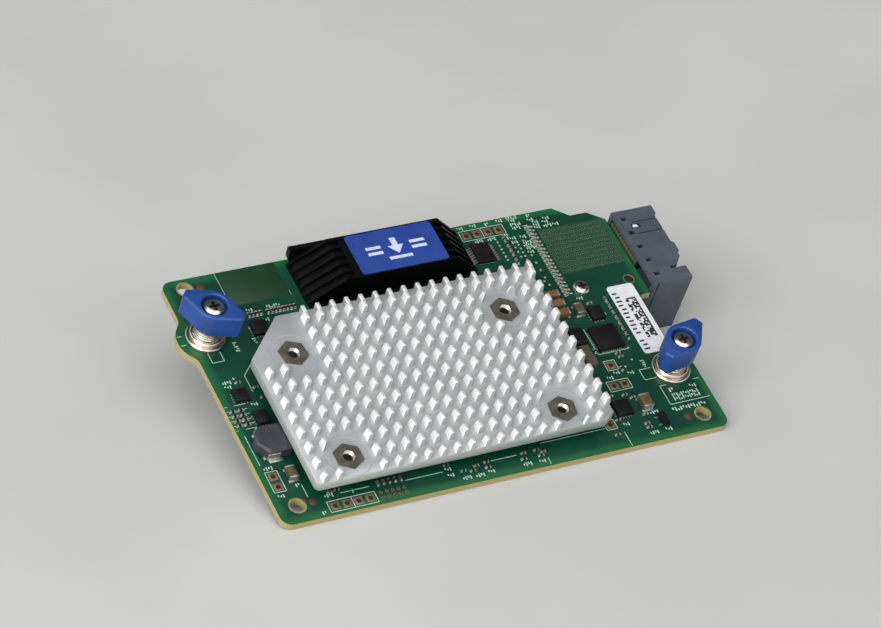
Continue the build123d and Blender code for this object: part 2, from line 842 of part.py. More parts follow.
# Chip resistors: centre x, centre y, size in X, size in Y.
resistors = [(left + x, front + 2.9, resistor_l, resistor_w) for x in (42.4, 45.8, 53.9, 57.8)]
resistors += [(left + 14.6 + array_pitch * i, back - 12.0, resistor_w, resistor_l) for i in range(4)]
resistors += [(left + 18.8 + array_pitch * i, back - 12.0, resistor_w, resistor_l) for i in range(8)]
resistors += [
    (left + 1.4 + 1.7 * i, front + 24.9 + 1.2 * j, resistor_l, resistor_w)
    for i in range(2)
    for j in range(4)
]


def chip_body(x, y, w, d, height):
    """Body of a two-ended chip part, between its metal ends."""
    if w > d:
        slab(0, height, x - w / 2 + end_metal, y - d / 2, x + w / 2 - end_metal, y + d / 2)
    else:
        slab(0, height, x - w / 2, y - d / 2 + end_metal, x + w / 2, y + d / 2 - end_metal)


def chip_ends(x, y, w, d, height):
    """The two metal ends of a chip part."""
    for side in (0, 1):
        if w > d:
            x0 = x - w / 2 + side * (w - end_metal)
            slab(0, height, x0, y - d / 2, x0 + end_metal, y + d / 2)
        else:
            y0 = y - d / 2 + side * (d - end_metal)
            slab(0, height, x - w / 2, y0, x + w / 2, y0 + end_metal)


with BuildPart() as ceramic_capacitors:
    for x, y, w, d, height in capacitors:
        chip_body(x, y, w, d, height)
finish(ceramic_capacitors, "ceramic_capacitors")

with BuildPart() as capacitor_ends:
    for x, y, w, d, height in capacitors:
        chip_ends(x, y, w, d, height)
finish(capacitor_ends, "capacitor_ends")

with BuildPart() as chip_resistors:
    for x, y, w, d in resistors:
        chip_body(x, y, w, d, resistor_h)
finish(chip_resistors, "chip_resistors")

with BuildPart() as resistor_ends:
    for x, y, w, d in resistors:
        chip_ends(x, y, w, d, resistor_h)
finish(resistor_ends, "resistor_ends")

# Paper label beside the notch.
with BuildPart() as serial_label:
    with BuildSketch(Plane.XY):
        with Locations((right - serial_x - serial_w / 2, serial_y0 + serial_d / 2)):
            RectangleRounded(serial_w, serial_d, serial_r)
    extrude(amount=label_t)
finish(serial_label, "serial_label")
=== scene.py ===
"""Looks of a blade-server mezzanine card: finishes, small parts, floor, light and camera."""

import logging
import math
from collections.abc import Sequence
from dataclasses import dataclass
from enum import Enum

import bmesh
import bpy
from mathutils import Matrix, Vector


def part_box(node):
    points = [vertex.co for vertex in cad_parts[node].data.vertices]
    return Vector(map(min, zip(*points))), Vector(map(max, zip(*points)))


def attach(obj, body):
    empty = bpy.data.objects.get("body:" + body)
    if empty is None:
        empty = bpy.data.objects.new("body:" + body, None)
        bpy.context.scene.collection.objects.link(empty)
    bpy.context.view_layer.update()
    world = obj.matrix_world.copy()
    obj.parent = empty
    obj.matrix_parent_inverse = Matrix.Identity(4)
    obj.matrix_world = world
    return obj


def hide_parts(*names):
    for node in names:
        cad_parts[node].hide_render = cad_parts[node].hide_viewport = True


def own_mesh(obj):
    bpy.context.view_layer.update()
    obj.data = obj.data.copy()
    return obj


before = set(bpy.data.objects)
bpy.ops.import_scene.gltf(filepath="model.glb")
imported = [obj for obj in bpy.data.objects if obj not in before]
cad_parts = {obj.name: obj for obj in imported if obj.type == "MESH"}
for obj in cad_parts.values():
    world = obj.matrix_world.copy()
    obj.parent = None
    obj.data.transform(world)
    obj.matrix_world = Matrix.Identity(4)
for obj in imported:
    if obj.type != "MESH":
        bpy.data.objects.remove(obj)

LOG = logging.getLogger("card")
MM = 0.001

Colour = tuple[float, float, float, float]
Pair = tuple[float, float]
Triple = tuple[float, float, float]
Profile = Sequence[Pair]
Run = tuple[Pair, Pair, int]

HEADER_PITCH = 2.54
ALONE = ((0.0, 0.0), 1)


class Body(Enum):
    """The bodies that a new piece can ride on."""

    CARD = "card"
    LEFT_PLUNGER = "left_plunger"
    LEFT_THUMBSCREW = "left_thumbscrew"
    RIGHT_PLUNGER = "right_plunger"
    RIGHT_THUMBSCREW = "right_thumbscrew"


class Side(Enum):
    """Which of the two thumbscrews is meant."""

    LEFT = "left"
    RIGHT = "right"


class Edge(Enum):
    """Sides of a printed frame, by the letters in its table."""

    LEFT = "l"
    RIGHT = "r"
    FRONT = "f"
    BACK = "b"


class Bevel(Enum):
    """What a bevel softens, by the modeller's own words."""

    EDGES = "EDGES"
    CORNERS = "VERTICES"


class Effect(Enum):
    """Shader effects that several finishes share."""

    MOTTLE = "mottle"
    GRAIN = "grain"
    SCUFFS = "scuffs"


def paint(red: int, green: int, blue: int) -> Colour:
    """Turn a screen colour of 0 to 255 a channel into a linear one.

    Args:
        red: Red channel.
        green: Green channel.
        blue: Blue channel.

    Returns:
        The linear colour with full alpha.
    """
    channels = [c / 255.0 for c in (red, green, blue)]
    bent = [c / 12.92 if c <= 0.04045 else ((c + 0.055) / 1.055) ** 2.4 for c in channels]
    return (bent[0], bent[1], bent[2], 1.0)


def places(runs: Sequence[Run]) -> list[Pair]:
    """Give the points of evenly spaced rows.

    Args:
        runs: First point, step and number of points of each row.

    Returns:
        The points, row by row.
    """
    return [
        (start[0] + step[0] * i, start[1] + step[1] * i)
        for start, step, count in runs
        for i in range(count)
    ]


def lifted(profile: Profile, height: float) -> list[Pair]:
    """Raise a profile by a height.

    Args:
        profile: Points of radius and height.
        height: What is added to each height.

    Returns:
        The raised points.
    """
    return [(radius, height + z) for radius, z in profile]


def soften(
    mesh: bmesh.types.BMesh, parts: list, offset: float, segments: int = 2, kind: Bevel = Bevel.EDGES
) -> None:
    """Bevel some edges or corners of a mesh.

    Args:
        mesh: The mesh.
        parts: Its edges or corners.
        offset: Width of the bevel.
        segments: Steps across the bevel.
        kind: Whether they are edges or corners.
    """
    bmesh.ops.bevel(
        mesh, geom=parts, offset=offset, offset_type="OFFSET", affect=kind.value,
        segments=segments, profile=0.5, material=-1,
    )


@dataclass(frozen=True)
class Card:
    """Where the board's front left top corner lies in the shared frame."""

    left: float
    front: float

    @classmethod
    def from_frame(cls) -> "Card":
        """Read the corner from the board, whose straight sides lie evenly about the middle."""
        low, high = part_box("circuit_board")
        return cls(left=-high.x, front=low.y)

    def to_frame(self) -> Matrix:
        """Matrix from board millimetres to the shared frame."""
        return Matrix.Translation((self.left, self.front, 0.0)) @ Matrix.Scale(MM, 4)

    def box(self, node: str) -> tuple[Vector, Vector]:
        """Give a node's lowest and highest corner in board millimetres.

        Args:
            node: Name of the CAD node.

        Returns:
            The two corners.
        """
        back = self.to_frame().inverted()
        low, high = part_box(node)
        return back @ low, back @ high

    def centre(self, node: str) -> Pair:
        """Give the middle of a node in plan, in board millimetres.

        Args:
            node: Name of the CAD node.

        Returns:
            The x and y of the middle.
        """
        low, high = self.box(node)
        return ((low.x + high.x) / 2, (low.y + high.y) / 2)


CARD = Card.from_frame()


class Wiring:
    """A node tree while it is being wired."""

    def __init__(self, tree: bpy.types.NodeTree) -> None:
        """Keep the tree to wire."""
        self.tree = tree

    def node(self, kind: str, inputs: dict | None = None, **settings) -> bpy.types.Node:
        """Add a node, set it up and feed its inputs.

        Args:
            kind: Blender's name for the node type.
            inputs: Values or sockets by input name or index.
            **settings: Properties of the node itself.

        Returns:
            The new node.
        """
        made = self.tree.nodes.new(kind)
        for key, value in settings.items():
            setattr(made, key, value)
        for key, value in (inputs or {}).items():
            self.feed(made, key, value)
        return made

    def feed(self, node: bpy.types.Node, key: str | int, value: object) -> None:
        """Link a socket to an input, or set the input's own value.

        Args:
            node: The node to feed.
            key: Name or index of its input.
            value: Value or socket.
        """
        if isinstance(value, bpy.types.NodeSocket):
            self.tree.links.new(value, node.inputs[key])
        else:
            node.inputs[key].default_value = value

    def math(self, operation: str, first: object, second: object = 0.0) -> bpy.types.NodeSocket:
        """Add a Math node.

        Args:
            operation: Name of the operation.
            first: First value or socket.
            second: Second value or socket.

        Returns:
            The result socket.
        """
        return self.node("ShaderNodeMath", {0: first, 1: second}, operation=operation).outputs[0]

    def mix(self, share: object, first: object, second: object) -> bpy.types.NodeSocket:
        """Mix two colours.

        Args:
            share: Share of the second colour.
            first: First colour or socket.
            second: Second colour or socket.

        Returns:
            The mixed colour socket.
        """
        made = self.node("ShaderNodeMix", {0: share, 6: first, 7: second}, data_type="RGBA")
        return made.outputs[2]

    def stretch(self, value: object, low: float, high: float) -> bpy.types.NodeSocket:
        """Map a range of values to 0 to 1, smoothly and clamped.

        Args:
            value: Value or socket.
            low: What becomes 0.
            high: What becomes 1.

        Returns:
            The mapped socket.
        """
        inputs = {"Value": value, "From Min": low, "From Max": high}
        made = self.node("ShaderNodeMapRange", inputs, interpolation_type="SMOOTHSTEP")
        return made.outputs["Result"]

    def noise(self, vector: object, scale: object, detail: float = 2.0) -> bpy.types.NodeSocket:
        """Add a noise texture.

        Args:
            vector: Coordinates.
            scale: Features per metre.
            detail: Octaves.

        Returns:
            The noise value socket.
        """
        inputs = {"Vector": vector, "Scale": scale, "Detail": detail}
        return self.node("ShaderNodeTexNoise", inputs).outputs[0]

    def scaled(self, vector: object, scale: Triple, turn: float = 0.0) -> bpy.types.NodeSocket:
        """Stretch and turn coordinates.

        Args:
            vector: Coordinates.
            scale: Factor along each axis.
            turn: Turn about Z in degrees.

        Returns:
            The new coordinates.
        """
        inputs = {"Vector": vector, "Scale": scale, "Rotation": (0.0, 0.0, math.radians(turn))}
        return self.node("ShaderNodeMapping", inputs).outputs[0]


class EffectGroups:
    """The shared shader effects, each built once as a node group."""

    BLOTCH: Pair = (0.35, 0.65)
    STREAK: Pair = (0.60, 0.78)
    STREAK_SHAPE: Triple = (1.0, 5.0, 2.0)
    STREAK_TURN: float = 35.0
    RUBBED: Pair = (0.45, 0.7)
    RUBBED_SCALE: float = 160.0

    _made: dict[Effect, bpy.types.NodeTree] = {}

    @classmethod
    def get(cls, effect: Effect) -> bpy.types.NodeTree:
        """Give the group of an effect, built at its first use.

        Args:
            effect: Which effect.

        Returns:
            The node group.
        """
        if effect not in cls._made:
            cls._made[effect] = getattr(cls, "_" + effect.value)()
        return cls._made[effect]

    @staticmethod
    def _start(
        name: str, inputs: dict[str, str], outputs: dict[str, str]
    ) -> tuple[Wiring, bpy.types.bpy_prop_collection, bpy.types.Node]:
        """Open a group with named sockets.

        Args:
            name: Name of the group.
            inputs: Socket type of each input.
            outputs: Socket type of each output.

        Returns:
            The wiring, the group's input sockets by name and its output node.
        """
        tree = bpy.data.node_groups.new(name, "ShaderNodeTree")
        for direction, sockets in (("INPUT", inputs), ("OUTPUT", outputs)):
            for title, kind in sockets.items():
                tree.interface.new_socket(name=title, in_out=direction, socket_type="NodeSocket" + kind)
        wiring = Wiring(tree)
        source = wiring.node("NodeGroupInput")
        sink = wiring.node("NodeGroupOutput")
        return wiring, source.outputs, sink

    @classmethod
    def _mottle(cls) -> bpy.types.NodeTree:
        """Two colours in soft blotches.

        Returns:
            The node group.
        """
        inputs = {"Vector": "Vector", "Scale": "Float", "Colour": "Color", "Tint": "Color"}
        wiring, source, sink = cls._start("mottle", inputs, {"Colour": "Color"})
        blotch = wiring.noise(source["Vector"], source["Scale"], 3.0)
        share = wiring.stretch(blotch, *cls.BLOTCH)
        wiring.feed(sink, "Colour", wiring.mix(share, source["Colour"], source["Tint"]))
        return wiring.tree

    @classmethod
    def _grain(cls) -> bpy.types.NodeTree:
        """Fine uneven roughness, with a height for bump.

        Returns:
            The node group.
        """
        inputs = {"Vector": "Vector", "Scale": "Float", "Roughness": "Float", "Spread": "Float"}
        wiring, source, sink = cls._start("grain", inputs, {"Roughness": "Float", "Height": "Float"})
        fine = wiring.noise(source["Vector"], source["Scale"], 4.0)
        swing = wiring.math("MULTIPLY", wiring.math("SUBTRACT", fine, 0.5), source["Spread"])
        wiring.feed(sink, "Roughness", wiring.math("ADD", source["Roughness"], swing))
        wiring.feed(sink, "Height", fine)
        return wiring.tree

    @classmethod
    def _scuffs(cls) -> bpy.types.NodeTree:
        """Short rubbed streaks of a second colour.

        Returns:
            The node group.
        """
        inputs = {
            "Vector": "Vector", "Scale": "Float", "Colour": "Color", "Scuff": "Color", "Amount": "Float",
        }
        wiring, source, sink = cls._start("scuffs", inputs, {"Colour": "Color"})
        along = wiring.scaled(source["Vector"], cls.STREAK_SHAPE, cls.STREAK_TURN)
        streak = wiring.stretch(wiring.noise(along, source["Scale"], 5.0), *cls.STREAK)
        patch = wiring.stretch(wiring.noise(source["Vector"], cls.RUBBED_SCALE), *cls.RUBBED)
        share = wiring.math("MULTIPLY", wiring.math("MULTIPLY", streak, patch), source["Amount"])
        wiring.feed(sink, "Colour", wiring.mix(share, source["Colour"], source["Scuff"]))
        return wiring.tree


class Shade(Wiring):
    """One material while it is being wired."""

    def __init__(self, name: str) -> None:
        """Start a material with its shader and its Object coordinates.

        Args:
            name: Name of the material.
        """
        self.material = bpy.data.materials.new(name)
        self.material.use_nodes = True
        super().__init__(self.material.node_tree)
        self.shader = self.tree.nodes["Principled BSDF"]
        self.place = self.node("ShaderNodeTexCoord").outputs["Object"]

    def effect(self, effect: Effect, **inputs: object) -> bpy.types.Node:
        """Place a shared effect with its own values.

        Args:
            effect: Which effect.
            **inputs: Values or sockets by input name.

        Returns:
            The group node.
        """
        node = self.node("ShaderNodeGroup", node_tree=EffectGroups.get(effect))
        self.feed(node, "Vector", self.place)
        for key, value in inputs.items():
            self.feed(node, key, value)
        return node

    def relief(self, height: object, strength: float, depth: float) -> None:
        """Add bump to the shader.

        Args:
            height: Height socket.
            strength: Strength of the bump.
            depth: Depth of the relief in metres.
        """
        inputs = {"Height": height, "Strength": strength, "Distance": depth}
        self.feed(self.shader, "Normal", self.node("ShaderNodeBump", inputs).outputs[0])

    def facing_up(self) -> bpy.types.NodeSocket:
        """Give 1 on faces that lie flat and 0 on upright ones.

        Returns:
            The mask socket.
        """
        normal = self.node("ShaderNodeNewGeometry").outputs["Normal"]
        upright = self.node("ShaderNodeSeparateXYZ", {0: normal}).outputs[2]
        return self.math("GREATER_THAN", self.math("ABSOLUTE", upright), 0.5)


@dataclass(frozen=True)
class Finish:
    """A surface finish: two close colours, uneven gloss, fine relief and a few scuffs."""

    name: str
    colour: Colour
    tint: Colour
    blotch: float = 150.0
    roughness: float = 0.5
    spread: float = 0.2
    grain: float = 3000.0
    bump: float = 0.15
    depth: float = 0.03
    metallic: float = 0.0
    specular: float = 0.5
    scuff: Colour = (1.0, 1.0, 1.0, 1.0)
    scuffing: float = 0.0
    scuff_scale: float = 900.0

    def material(self) -> bpy.types.Material:
        """Wire the finish.

        Returns:
            The new material.
        """
        shade = Shade(self.name)
        shade.feed(shade.shader, "Base Color", self.base(shade))
        grain = shade.effect(
            Effect.GRAIN, Scale=self.grain, Roughness=self.roughness, Spread=self.spread
        )
        shade.feed(shade.shader, "Roughness", grain.outputs["Roughness"])
        shade.feed(shade.shader, "Metallic", self.metallic)
        shade.feed(shade.shader, "Specular IOR Level", self.specular)
        shade.relief(self.height(shade, grain.outputs["Height"]), self.bump, self.depth * MM)
        return shade.material

    def base(self, shade: Shade) -> bpy.types.NodeSocket:
        """Give the colour of the finish, with its scuffs.

        Args:
            shade: The material that is being wired.

        Returns:
            The colour socket.
        """
        mottle = shade.effect(Effect.MOTTLE, Scale=self.blotch, Colour=self.colour, Tint=self.tint)
        if not self.scuffing:
            return mottle.outputs["Colour"]
        scuffed = shade.effect(
            Effect.SCUFFS,
            Scale=self.scuff_scale,
            Colour=mottle.outputs["Colour"],
            Scuff=self.scuff,
            Amount=self.scuffing,
        )
        return scuffed.outputs["Colour"]

    def height(self, shade: Shade, grain: bpy.types.NodeSocket) -> bpy.types.NodeSocket:
        """Give the relief of the finish."""
        return grain


@dataclass(frozen=True)
class MaskFinish(Finish):
    """Solder mask over copper: darker over the planes, brighter along the edges, cream cut edges."""

    border: Colour = (0.0, 0.0, 0.0, 1.0)
    border_start: float = 1.2
    border_end: float = 3.0
    wander: float = 1.2
    wander_scale: float = 220.0
    laminate: Colour = (0.0, 0.0, 0.0, 1.0)
    layer: Colour = (0.0, 0.0, 0.0, 1.0)
    plies: float = 16000.0
    weave: Pair = (0.2, 1.6)
    weave_scale: float = 900.0
    trace_pitch: float = 0.55
    trace_width: float = 0.07
    trace_pitches: float = 16.0
    trace_shift: float = 0.37
    trace_lift: float = 0.35
    bundle: Pair = (0.48, 0.6)
    bundle_scale: float = 130.0

    def base(self, shade: Shade) -> bpy.types.NodeSocket:
        """Mix the mask over planes, traces, border and cut edges.

        Args:
            shade: The material that is being wired.

        Returns:
            The colour socket.
        """
        low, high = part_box("circuit_board")
        planes = super().base(shade)
        x, y, z = shade.node("ShaderNodeSeparateXYZ", {0: shade.place}).outputs
        gaps = [
            shade.math("ADD", x, high.x),
            shade.math("SUBTRACT", high.x, x),
            shade.math("SUBTRACT", y, low.y),
            shade.math("SUBTRACT", high.y, y),
        ]
        edge = gaps[0]
        for gap in gaps[1:]:
            edge = shade.math("MINIMUM", edge, gap)
        noise = shade.noise(shade.place, self.wander_scale)
        wander = shade.math("MULTIPLY", noise, self.wander * MM)
        inside = shade.stretch(
            shade.math("ADD", edge, wander), self.border_start * MM, self.border_end * MM
        )
        traced = shade.mix(self.traces(shade), planes, self.border)
        mask = shade.mix(inside, self.border, traced)
        plies = shade.math("SINE", shade.math("MULTIPLY", z, self.plies))
        fibres = shade.noise(shade.place, self.weave_scale)
        weave = shade.stretch(shade.math("ADD", plies, fibres), *self.weave)
        return shade.mix(shade.facing_up(), shade.mix(weave, self.laminate, self.layer), mask)

    def traces(self, shade: Shade) -> bpy.types.NodeSocket:
        """Give a faint mask of traces that run in short bundles.

        Args:
            shade: The material that is being wired.

        Returns:
            The mask socket.
        """
        bricks = {
            "Vector": shade.place,
            "Scale": 1.0,
            "Mortar Size": self.trace_width * MM,
            "Mortar Smooth": 0.4,
            "Brick Width": self.trace_pitches * self.trace_pitch * MM,
            "Row Height": self.trace_pitch * MM,
        }
        lines = shade.node("ShaderNodeTexBrick", bricks, offset=self.trace_shift).outputs["Fac"]
        bundle = shade.stretch(shade.noise(shade.place, self.bundle_scale), *self.bundle)
        return shade.math("MULTIPLY", shade.math("MULTIPLY", lines, bundle), self.trace_lift)


@dataclass(frozen=True)
class WaferFinish(Finish):
    """Moulded contact wafers: thin plates with painted shade in the upright slits between them."""

    slit_shade: Colour = (0.0, 0.0, 0.0, 1.0)
    slit_shade_span: Pair = (0.55, 0.9)
    pitch: float = 0.95

    def base(self, shade: Shade) -> bpy.types.NodeSocket:
        """Paint shade into the slits between the plates.

        Args:
            shade: The material that is being wired.

        Returns:
            The colour socket.
        """
        y = shade.node("ShaderNodeSeparateXYZ", {0: shade.place}).outputs[1]
        turns = shade.math("MULTIPLY", y, 2 * math.pi / (self.pitch * MM))
        # Painted shade in the slits between the plates.
        gap = shade.stretch(shade.math("SINE", turns), *self.slit_shade_span)
        return shade.mix(gap, super().base(shade), self.slit_shade)


@dataclass(frozen=True)
class SinkFinish(Finish):
    """Bare aluminium with painted light: dull floor, painted highlights on the pin heads and the leaning
    left pin flanks, and a painted tone on the upright walls.
    """

    # Painted light: a highlight on the pin heads, a highlight on the leaning left flanks, and a tone of
    # their own for the upright walls.
    head_highlight: Colour = (1.0, 1.0, 1.0, 1.0)
    flank_highlight: Colour = (1.0, 1.0, 1.0, 1.0)
    side: Colour = (1.0, 1.0, 1.0, 1.0)
    pins_from: float = 5.35
    head_highlight_from: float = 6.7
    head_highlight_to: float = 7.0
    fade_from: float = 5.9
    fade_to: float = 8.6
    level_span: Pair = (0.2, 0.8)
    left_span: Pair = (-0.4, -0.75)
    lean_span: Pair = (0.08, 0.25)
    saw: float = 2600.0
    saw_shape: Triple = (0.04, 1.0, 1.0)

    def base(self, shade: Shade) -> bpy.types.NodeSocket:
        """Paint highlights on the heads and the leaning left flanks of the pins, and paint the upright
        walls in a tone of their own for the light on them.

        Args:
            shade: The material that is being wired.

        Returns:
            The colour socket.
        """
        normal = shade.node("ShaderNodeNewGeometry").outputs["Normal"]
        x, _, up = shade.node("ShaderNodeSeparateXYZ", {0: normal}).outputs
        z = shade.node("ShaderNodeSeparateXYZ", {0: shade.place}).outputs[2]
        # Painted highlight on the pin heads; the upright walls keep their own painted tone.
        heads = shade.stretch(z, self.head_highlight_from * MM, self.head_highlight_to * MM)
        level = shade.mix(heads, super().base(shade), self.head_highlight)
        sides = shade.mix(shade.stretch(up, *self.level_span), self.side, level)
        # Painted highlight on the leaning left flanks of the pins, fading towards the top.
        left = shade.stretch(x, *self.left_span)
        leaning = shade.math("MULTIPLY", left, shade.stretch(up, *self.lean_span))
        pins = shade.math("GREATER_THAN", z, self.pins_from * MM)
        fading = shade.stretch(z, self.fade_to * MM, self.fade_from * MM)
        glint = shade.math("MULTIPLY", pins, fading)
        return shade.mix(shade.math("MULTIPLY", leaning, glint), sides, self.flank_highlight)

    def height(self, shade: Shade, grain: bpy.types.NodeSocket) -> bpy.types.NodeSocket:
        """Add fine saw lines to the grain."""
        lines = shade.noise(shade.scaled(shade.place, self.saw_shape), self.saw, 3.0)
        return shade.math("ADD", lines, grain)


class Palette:
    """Every finish on the card, made once."""

    def __init__(self) -> None:
        """Wire all the finishes."""
        self.mask = MaskFinish(
            "solder_mask", paint(4, 54, 41), paint(8, 61, 45),
            blotch=60.0, roughness=0.36, spread=0.1, grain=4000.0, bump=0.08, specular=0.4,
            border=paint(26, 88, 52), laminate=paint(170, 158, 106), layer=paint(142, 130, 82),
        ).material()
        # Darker mask with no copper under it, also used as painted shade in the gaps between the small
        # capacitors.
        self.dark_mask = Finish(
            "bare_mask_and_gap_shade", paint(20, 54, 32), paint(25, 61, 36),
            blotch=90.0, roughness=0.4, spread=0.1, grain=4000.0, bump=0.05,
        ).material()
        self.laminate = Finish(
            "bare_laminate", paint(140, 132, 86), paint(112, 106, 66),
            blotch=700.0, roughness=0.6, spread=0.2, grain=5000.0, bump=0.1,
        ).material()
        # Satin aluminium with painted highlights on the pin heads and left flanks, and a painted tone on
        # the upright walls.
        self.aluminium = SinkFinish(
            "satin_aluminium_with_painted_light", paint(184, 187, 189), paint(172, 176, 179),
            blotch=140.0, roughness=0.5, spread=0.16, grain=5000.0, bump=0.14, metallic=0.5,
            head_highlight=paint(222, 224, 222), flank_highlight=paint(253, 253, 252), side=paint(182, 188, 184),
        ).material()
        self.zinc = Finish(
            "dull_zinc", paint(140, 135, 125), paint(116, 111, 103),
            blotch=700.0, roughness=0.4, spread=0.2, grain=4000.0, bump=0.1, metallic=0.85,
        ).material()
        self.bright = Finish(
            "bright_plate", paint(222, 220, 214), paint(200, 196, 188),
            blotch=500.0, roughness=0.2, spread=0.12, grain=2500.0, bump=0.05, metallic=1.0,
        ).material()
        self.nickel = Finish(
            "satin_nickel", paint(222, 214, 202), paint(200, 190, 176),
            blotch=350.0, roughness=0.26, spread=0.14, grain=2500.0, bump=0.06, metallic=1.0,
        ).material()
        self.spring = Finish(
            "spring_wire", paint(170, 170, 170), paint(140, 140, 140),
            blotch=800.0, roughness=0.3, spread=0.1, grain=3000.0, bump=0.05, metallic=1.0,
        ).material()
        self.blue = Finish(
            "blue_knob", paint(20, 58, 122), paint(26, 66, 132),
            blotch=260.0, roughness=0.42, spread=0.16, grain=2400.0, bump=0.16,
            scuff=paint(104, 136, 186), scuffing=0.35,
        ).material()
        self.black = Finish(
            "black_cap", paint(4, 4, 5), paint(6, 6, 7),
            blotch=300.0, roughness=0.44, spread=0.16, grain=2600.0, bump=0.22, specular=0.13,
            scuff=paint(64, 64, 68), scuffing=0.22,
        ).material()
        self.slate = Finish(
            "slate_housing", paint(72, 79, 89), paint(65, 71, 81),
            blotch=220.0, roughness=0.5, spread=0.14, grain=2600.0, bump=0.16,
            scuff=paint(98, 102, 110), scuffing=0.25,
        ).material()
        # Wafer plates, with painted shade in their slits.
        self.wafer = WaferFinish(
            "wafer_plates", paint(96, 92, 74), paint(84, 80, 64),
            blotch=300.0, roughness=0.55, spread=0.15, grain=2600.0, bump=0.12, slit_shade=paint(46, 44, 36),
        ).material()
        self.gold = Finish(
            "gold_flash", paint(206, 170, 104), paint(180, 144, 84),
            blotch=900.0, roughness=0.32, spread=0.15, grain=3000.0, bump=0.06, metallic=0.9,
        ).material()
        self.plated = Finish(
            "plated_pad", paint(130, 108, 80), paint(108, 88, 64),
            blotch=1200.0, roughness=0.45, spread=0.2, grain=3000.0, bump=0.1, metallic=0.3,
        ).material()
        self.masked_via = Finish(
            "masked_via", paint(80, 100, 78), paint(64, 86, 66),
            blotch=900.0, roughness=0.45, spread=0.2, grain=3000.0, bump=0.1,
        ).material()
        self.field_mask = Finish(
            "field_mask", paint(32, 66, 48), paint(40, 73, 54),
            blotch=700.0, roughness=0.4, spread=0.15, grain=3000.0, bump=0.1,
        ).material()
        self.copper = Finish(
            "bare_copper_spot", paint(104, 60, 46), paint(86, 48, 36),
            blotch=1500.0, roughness=0.5, spread=0.2, grain=3000.0, bump=0.1, metallic=0.2,
        ).material()
        # Dark brown: painted shade in bores, openings and recesses, and the colour of the dimples on the
        # chips.
        self.hole_shade_and_dimple = Finish(
            "painted_hole_shade_and_dimple", paint(30, 22, 18), paint(16, 13, 11),
            blotch=900.0, roughness=0.7, spread=0.1, grain=2000.0, bump=0.05,
        ).material()
        # Black moulding compound of the chips, also used as painted shade in the press-fit bores and on the
        # screw ends in the standoffs.
        self.chip = Finish(
            "moulding_compound_and_bore_shade", paint(10, 10, 12), paint(16, 16, 19),
            blotch=800.0, roughness=0.55, spread=0.14, grain=6000.0, bump=0.25, specular=0.25,
        ).material()
        self.ferrite = Finish(
            "ferrite", paint(52, 54, 60), paint(42, 44, 50),
            blotch=500.0, roughness=0.55, spread=0.16, grain=5000.0, bump=0.3,
        ).material()
        self.choke = Finish(
            "grey_choke", paint(84, 76, 64), paint(70, 63, 54),
            blotch=600.0, roughness=0.6, spread=0.15, grain=5000.0, bump=0.25,
        ).material()
        self.ceramic = Finish(
            "fired_ceramic", paint(126, 100, 58), paint(106, 84, 48),
            blotch=700.0, roughness=0.42, spread=0.15, grain=4000.0, bump=0.1,
        ).material()
        self.dark_ceramic = Finish(
            "dark_ceramic", paint(92, 78, 54), paint(76, 64, 44),
            blotch=700.0, roughness=0.42, spread=0.15, grain=4000.0, bump=0.1,
        ).material()
        self.pale_ceramic = Finish(
            "pale_ceramic", paint(158, 158, 146), paint(138, 138, 126),
            blotch=900.0, roughness=0.45, spread=0.15, grain=4000.0, bump=0.1,
        ).material()
        self.tin = Finish(
            "solder_tin", paint(204, 206, 200), paint(176, 178, 172),
            blotch=1200.0, roughness=0.3, spread=0.22, grain=2600.0, bump=0.2, metallic=0.85,
        ).material()
        self.substrate = Finish(
            "package_laminate", paint(28, 66, 46), paint(22, 56, 40),
            blotch=300.0, roughness=0.4, spread=0.1, grain=3000.0, bump=0.08,
        ).material()
        self.lid = Finish(
            "package_lid", paint(186, 186, 184), paint(170, 170, 168),
            blotch=300.0, roughness=0.35, spread=0.15, grain=3000.0, bump=0.08, metallic=0.9,
        ).material()
        self.pad = Finish(
            "soft_pad", paint(150, 156, 164), paint(136, 142, 150),
            blotch=500.0, roughness=0.8, spread=0.1, grain=2500.0, bump=0.2,
        ).material()
        self.blue_label = Finish(
            "blue_print", paint(32, 58, 132), paint(38, 66, 142),
            blotch=180.0, roughness=0.38, spread=0.14, grain=1800.0, bump=0.06,
            scuff=paint(100, 124, 184), scuffing=0.2,
        ).material()
        self.white_ink = Finish(
            "white_ink", paint(196, 206, 226), paint(178, 190, 214),
            blotch=900.0, roughness=0.5, spread=0.1, grain=3000.0, bump=0.05,
        ).material()
        self.paper = Finish(
            "white_label", paint(214, 216, 220), paint(206, 208, 213),
            blotch=500.0, roughness=0.5, spread=0.1, grain=3000.0, bump=0.06,
        ).material()
        self.black_ink = Finish(
            "black_ink", paint(26, 25, 28), paint(42, 40, 44),
            blotch=2500.0, roughness=0.55, spread=0.1, grain=3000.0, bump=0.05,
        ).material()
        self.silk = Finish(
            "silkscreen_ink", paint(172, 198, 184), paint(138, 172, 154),
            blotch=2600.0, roughness=0.55, spread=0.1, grain=4000.0, bump=0.08,
        ).material()

